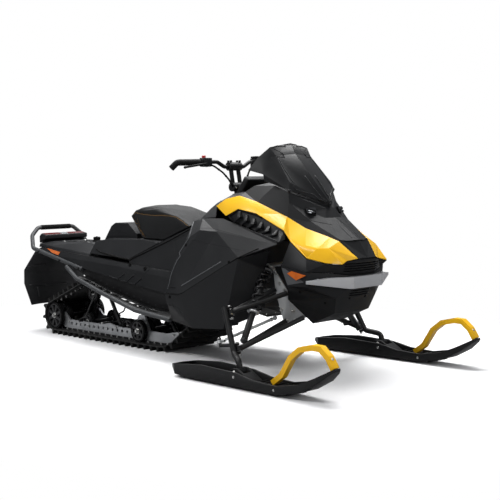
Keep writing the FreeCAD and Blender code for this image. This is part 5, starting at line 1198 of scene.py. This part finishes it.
bezel_line = [(305.6, 207.8), (315.4, 210.6), (315.8, 213.4), (306.6, 213.6), (305.6, 207.8)]
bezel_path = drawn_on(["headlights", "hood"], bezel_line, lift=0.0004, step=1.2)
add_wires("lamp_bezels", both([bezel_path]), 0.0024, "chassis", deep_black, sides=1)
cap_line = drawn_on(["hood", "nose"], [(339.6, 240.6), (353.6, 241.4), (362.3, 239.6)])
add_wires("nose_cap_seam", both([cap_line]), 0.0024, "chassis", deep_black, sides=1)

# Yellow panels: moulded panels with a soft gloss, folded in facets, that sweep from the hood to
# the sides. Their edges are rounded, and no fastening shows.
yellow_gloss = finish_of("yellow_gloss", (0.96, 0.53, 0.012), (0.93, 0.515, 0.012), (0.30, 0.38), 60, 0.012,
                         coat=0.12, specular=0.35)
for side, way in SIDES:
    soften(f"yellow_panel_{side}", f"swept_panel_{side}", yellow_gloss, 0.0035, 3)

# Side panels: large engine covers over lower skirt panels. Creases and a dark gap cross them, with
# quarter-turn fasteners, a latch slot, and the louvres of the vents above. Grey wires along the rear edge
# and along a raised band are painted highlights.
engine_lines = [[(191.2, 240.4), (217, 245.6), (243.4, 250.9)],
                [(200.4, 228.2), (211.4, 228.2), (257.4, 240.6)]]
skirt_lines = [[(168.6, 305), (174.8, 307.7), (189.6, 324.4)]]
band_line = [(181.4, 285.8), (221, 261.8)]
seam_line = [(165, 293.6), (177.9, 294.6), (182.5, 293), (220, 269), (236.8, 258.3), (258.6, 248.4)]
edge_line = [(193.6, 222), (188.9, 237.9), (174.6, 260.1), (167.8, 275.4), (164.8, 289)]
slot_line = [(167.8, 287.6), (175.2, 287.6)]
engine_nodes, skirt_nodes = ["side_panel_right"], ["lower_panel_right"]
panel_nodes = engine_nodes + skirt_nodes
engine_seams = [drawn_on(engine_nodes, line) for line in engine_lines]
skirt_seams = [drawn_on(skirt_nodes, line) for line in skirt_lines]
seam_path = drawn_on(panel_nodes, seam_line, step=2.0)
edge_path = drawn_on(engine_nodes, edge_line, lift=-0.0008)
band_path = drawn_on(engine_nodes, band_line, lift=-0.001)
slot_path = drawn_on(panel_nodes, slot_line, lift=-0.0005)
panel_fasteners = [seen_on(panel_nodes, *spot) for spot in ((169.8, 297), (186, 245), (229, 262))]
for side, way in SIDES:
    turn_over = mirrored if way > 0 else list
    for node, name, seams in (("side_panel", "engine_panel", engine_seams),
                              ("lower_panel", "skirt_panel", skirt_seams)):
        soften(f"{node}_{side}", f"{name}_{side}", satin_black, 0.003, 3,
               seams=[turn_over(path) for path in seams], seam=0.0018)
    add_wires(f"panel_gap_{side}", [turn_over(seam_path)], 0.0032, "chassis", deep_black, sides=1)
    # Painted highlights: grey wires along the rounded rear edge and the raised band, where these catch the
    # light.
    add_wires(f"panel_painted_highlights_{side}", [turn_over(edge_path), turn_over(band_path)], 0.0038, "chassis",
              grey_plate_and_highlight_plastic)
    add_wires(f"latch_slot_{side}", [turn_over(slot_path)], 0.0022, "chassis", deep_black, sides=1)
    stamped(f"panel_fasteners_{side}", quarter_turn, paired(panel_fasteners, 0.0085, ways=(way,)), "chassis",
            deep_black)
soften("side_vents", "vent_louvres", satin_black, 0.0012, 2)
# Painted shade: a black wire over the lit upper border of the vent inserts hides the highlight there and
# draws a dark line.
vent_line = [(226.5, 216.6), (229.2, 216.3), (238.7, 210.2), (257, 215.2), (262, 217.8)]
vent_path = drawn_on(["side_vents", "yellow_panel_right"], vent_line, step=2.0)
add_wires("vent_edge_shade", both([vent_path]), 0.0052, "chassis", deep_black, sides=1)

# Nose: fascia with an open grille, a belly pan with louvres, and a grey bar moulded over both and
# held by bolts. Solid black sheets behind the slots stand for screens and are painted shade of the inside.
# Amber lenses mark the corners.
soften("nose", "nose_fascia", satin_black, 0.0015, 2)
soften("bottom_pan", "belly_pan", satin_black, 0.003, 3)
bar_grey = finish_of("bar_grey", (0.42, 0.427, 0.44), (0.47, 0.476, 0.49), (0.4, 0.5), 420, 0.14,
                     specular=0.35)
soften("front_bumper", "nose_bar", bar_grey, 0.005, 3)
bar_bolts = [seen_on(["front_bumper"], *spot) for spot in ((318, 279.6), (381, 279.6))]
stamped("nose_bar_bolts", round_screw, paired(bar_bolts, 0.0065), "chassis", bar_grey)
screen_sunk, seam_lean = 0.0055, 0.010


def backing(name, node, half, rows, parts):
    """Solid black sheet behind the slots of a panel: it stands for the screen there, and its black is painted
    shade of the inside. It leans inwards past the panel's edge, behind the seam, so the gap there shows
    painted shade too.
    """
    shape = bmesh.new()
    grid = []
    for level in rows:
        line = []
        for index in range(parts + 1):
            y = half * (2 * index / parts - 1)
            met = cast([node], (1.8, y, level), (-1, 0, 0))
            x = met[0].x - screen_sunk if met else grid[-1][index].co.x - seam_lean
            line.append(shape.verts.new((x, y, level)))
        grid.append(line)
    for low_line, high_line in zip(grid, grid[1:]):
        for index in range(parts):
            shape.faces.new((low_line[index], low_line[index + 1], high_line[index + 1], high_line[index]))
    bmesh.ops.solidify(shape, geom=shape.faces[:], thickness=0.0015)
    return add_piece(name, shape, "chassis", deep_black)


backing("grille_screen_shade_low", "nose", 0.165, (0.557, 0.545, 0.533, 0.520, 0.505), 16)
backing("grille_screen_shade_high", "nose", 0.128, (0.557, 0.569, 0.581, 0.603), 12)
backing("pan_screen_shade", "bottom_pan", 0.072, (0.445, 0.433, 0.421, 0.409), 10)
pan_screws = [seen_on(["bottom_pan"], *spot) for spot in ((300, 292), (325, 303), (365, 296))]
stamped("pan_screws", round_screw, paired(pan_screws, 0.0065), "chassis", deep_black)


def amber_finish():
    """Amber lens over small prisms: the cells of the prisms, each painted lighter in its middle as its glint.
    """
    material = finish_of("amber_lens", (0.62, 0.12, 0.008), (0.45, 0.08, 0.006), (0.1, 0.16), 90, 0.1,
                         coat=1.0)
    tree = material.node_tree
    place = add_node(tree, "TexCoord").outputs["Object"]
    prisms = add_node(tree, "TexVoronoi", {"Vector": place, "Scale": 160, "Randomness": 0},
                      distance="CHEBYCHEV")
    # Painted glints: each prism cell lighter towards its middle.
    prism_glints = colour_between(tree, prisms.outputs["Distance"], (0.75, 0.17, 0.012), (0.30, 0.045, 0.004))
    tree.links.new(prism_glints, tree.nodes["Principled BSDF"].inputs["Base Color"])
    return material


dress("reflectors", amber_finish())
patch_pixels = [(281.6, 267.9), (310, 275.1), (303.2, 282.6), (287.6, 285.1)]
patch_nodes = ["bottom_pan", "side_panel_right", "lower_panel_right"]
patch_mets = [seen_on(patch_nodes, *spot) for spot in patch_pixels]
for side, way in SIDES:
    patch = bmesh.new()
    front_ring, back_ring = ([patch.verts.new(side_of(spot, way) + side_of(normal, way) * lift)
                              for spot, normal in patch_mets] for lift in (0.0012, -0.002))
    patch.faces.new(front_ring)
    patch.faces.new(back_ring[::-1])
    for index in range(4):
        after = (index + 1) % 4
        patch.faces.new((front_ring[after], front_ring[index], back_ring[index], back_ring[after]))
    bmesh.ops.recalc_face_normals(patch, faces=patch.faces)
    add_piece(f"reflector_plate_{side}", patch, "chassis", grey_plate_and_highlight_plastic)

# Bulkhead and engine: bare aluminium plates and cross tubes with flanged bolts. Behind them, mostly
# hidden, stand a cast block and the black air box on it.
dress("bulkhead", bare_aluminium)
cast_iron = finish_of("cast_block", (0.06, 0.06, 0.063), (0.09, 0.09, 0.092), (0.55, 0.7), 240, 0.5,
                      metallic=0.6)
dress("engine_block", cast_iron)
engine_low, engine_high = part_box("engine_block")
set_box("air_box", (0.30, 0.28, 0.110), 0.02, Matrix.Translation((0.62, 0, engine_high[2] + 0.054)),
        "chassis", deep_black)
bulk_spots = [(0.872, 0.520), (0.900, 0.470), (0.935, 0.440), (0.880, 0.330), (0.960, 0.330), (1.020, 0.330),
              (0.905, 0.275), (0.960, 0.285)]
bulk_mets = [cast(["bulkhead"], (x, -0.6, z), (0, 1, 0)) for x, z in bulk_spots]
plate_mets = [met for met in bulk_mets if met and met[0].y < -0.12]
stamped("bulkhead_bolts", hex_bolt, paired(plate_mets, 0.0095, 0.3), "chassis", zinc_steel)

# Control arms: welded tube A-arms, coated black, with bright ball-joint rings in their eyes and
# weld beads round the tubes.
ball_low, ball_top = Vector((0.850, -0.458, 0.160)), Vector((0.770, -0.432, 0.334))
steer_axis = (ball_top - ball_low).normalized()
ring_mesh = pattern_of(lathe([(0.0088, 0.0001), (0.0088, 0.0014), (0.0165, 0.0014), (0.0172, 0.0001)], 32))
weld_mesh = pattern_of(lathe([(0.0095, -0.0028), (0.0138, -0.0010), (0.0138, 0.0010), (0.0095, 0.0028)], 20))
eye_face = 0.013
arm_pivots = {"low": (ball_low, ((1.022, -0.166, 0.300), (0.895, -0.166, 0.272))),
              "top": (ball_top, ((0.960, -0.217, 0.424), (0.864, -0.208, 0.436)))}

for side, way in SIDES:
    dress(f"control_arms_{side}", powder_black)
    rings, welds = [], []
    for ball, pivots in arm_pivots.values():
        for end in (-1, 1):
            facing = steer_axis * end
            rings.append(stood(side_of(ball + facing * eye_face, way), side_of(facing, way)))
        for pivot in pivots:
            run = (Vector(pivot) - ball).normalized()
            welds.append(stood(side_of(ball + run * 0.0215, way), side_of(run, way)))
    stamped(f"ball_joint_rings_{side}", ring_mesh, rings, "chassis", zinc_steel)
    stamped(f"arm_welds_{side}", weld_mesh, welds, "chassis", powder_black)

# Front dampers: gas dampers with coil springs between the lower arms and the bulkhead's head.
# Black coated tubes, aluminium collars, and bolts through the eyes.
for side, way in SIDES:
    damper(f"front_damper_{side}", (0.846, way * 0.418, 0.196), (0.806, way * 0.203, 0.545),
           (0.017, 0.027, 0.005, 8, 0.40, 0.95), f"front_shock_{side}")

# Spindles: forged legs, coated black, with flanged nuts on the ball joints and on the tie rods'
# pins. Tie rods: aluminium tube with jam nuts at both ball ends.
rod_pin, rod_inner = Vector((0.722, -0.470, 0.184)), Vector((0.800, -0.150, 0.278))
rod_run = (rod_inner - rod_pin).normalized()
nut_spots = [(ball, reach * end, 0.0105) for ball, reach in ((ball_top, 0.0285), (ball_low, 0.0285))
             for end in (-1, 1)]
nut_spots += [(rod_pin, 0.0140, 0.0085), (rod_pin, -0.0200, 0.0085)]
jam_nut = bmesh.new()
bmesh.ops.create_cone(jam_nut, cap_ends=True, segments=6, radius1=0.0115, radius2=0.0115, depth=0.008)
jam_mesh = pattern_of(jam_nut)
for side, way in SIDES:
    dress(f"spindle_{side}", powder_black)
    nuts = []
    for pin, reach, size in nut_spots:
        facing = steer_axis if reach > 0 else -steer_axis
        nuts.append(stood(side_of(pin + steer_axis * reach, way), side_of(facing, way), size))
    stamped(f"spindle_nuts_{side}", hex_bolt, nuts, f"spindle_{side}", zinc_steel)
    dress(f"tie_rod_{side}", bare_aluminium)
    jams = [stood(side_of(spot, way), side_of(rod_run, way))
            for spot in (rod_pin + rod_run * 0.026, rod_inner - rod_run * 0.024)]
    stamped(f"tie_rod_jams_{side}", jam_mesh, jams, f"tie_rod_{side}", zinc_steel)

# Skis: moulded plastic with ribs and a steel runner under the keel, a pivot bolt through the
# saddle, and a yellow loop bolted to the tip.
ski_plastic = finish_of("ski_plastic", (0.007, 0.0072, 0.0076), (0.012, 0.0122, 0.0128), (0.4, 0.55), 600,
                        0.2, specular=0.28)
ski_y, ski_pivot_x, ski_pivot_z = 0.540, 0.950, 0.072
rib_first_x, rib_pitch, rib_count, rib_offset, saddle_half = 0.62, 0.0245, 30, 0.026, 0.11
side_bolt_spots = ((0.968, 0.605, 0.057), (1.239, 0.604, 0.031), (0.968, 0.475, 0.057),
                   (1.239, 0.476, 0.031))
ski_rib = pattern_of(add_box(bmesh.new(), (0, 0, 0), (0.0045, 0.026, 0.012)))
for side, way in SIDES:
    ski = f"ski_{side}"
    soften(ski, f"ski_runner_{side}", ski_plastic, 0.0015, 2)
    soften(f"ski_loop_{side}", f"ski_handle_{side}", yellow_gloss, 0.004, 3)
    rib_places = []
    for index in range(rib_count):
        x = rib_first_x + index * rib_pitch
        if abs(x - ski_pivot_x) > saddle_half:
            for edge in (-1, 1):
                met = cast([ski], (x, way * ski_y + edge * rib_offset, 0.4), (0, 0, -1))
                if met and met[1].z > 0.6:
                    rib_places.append(Matrix.Translation(met[0]))
    stamped(f"ski_ribs_{side}", ski_rib, rib_places, ski, ski_plastic)
    runner = add_box(bmesh.new(), (0.931, way * ski_y, 0.0036), (0.662, 0.0165, 0.0068))
    add_piece(f"ski_skag_{side}", runner, ski, zinc_steel)
    bolts = []
    for x, y, z in side_bolt_spots:
        bolts.append(stood((x, way * y, z), (0, way * (1 if y > ski_y else -1), 0), 0.0068))
    stamped(f"ski_side_bolts_{side}", round_screw, bolts, ski, zinc_steel)
    pivots = [stood((ski_pivot_x, way * ski_y + end * 0.042, ski_pivot_z), (0, end, 0), 0.0125, 0.2)
              for end in (-1, 1)]
    stamped(f"ski_pivot_bolts_{side}", hex_bolt, pivots, ski, zinc_steel)
    loop_spots = [(x, way * ski_y, 0.4) for x in (1.300, 1.548)]
    stamped(f"loop_bolts_{side}", round_screw, stood_under(f"ski_loop_{side}", loop_spots, 0.0065), ski,
            zinc_steel)
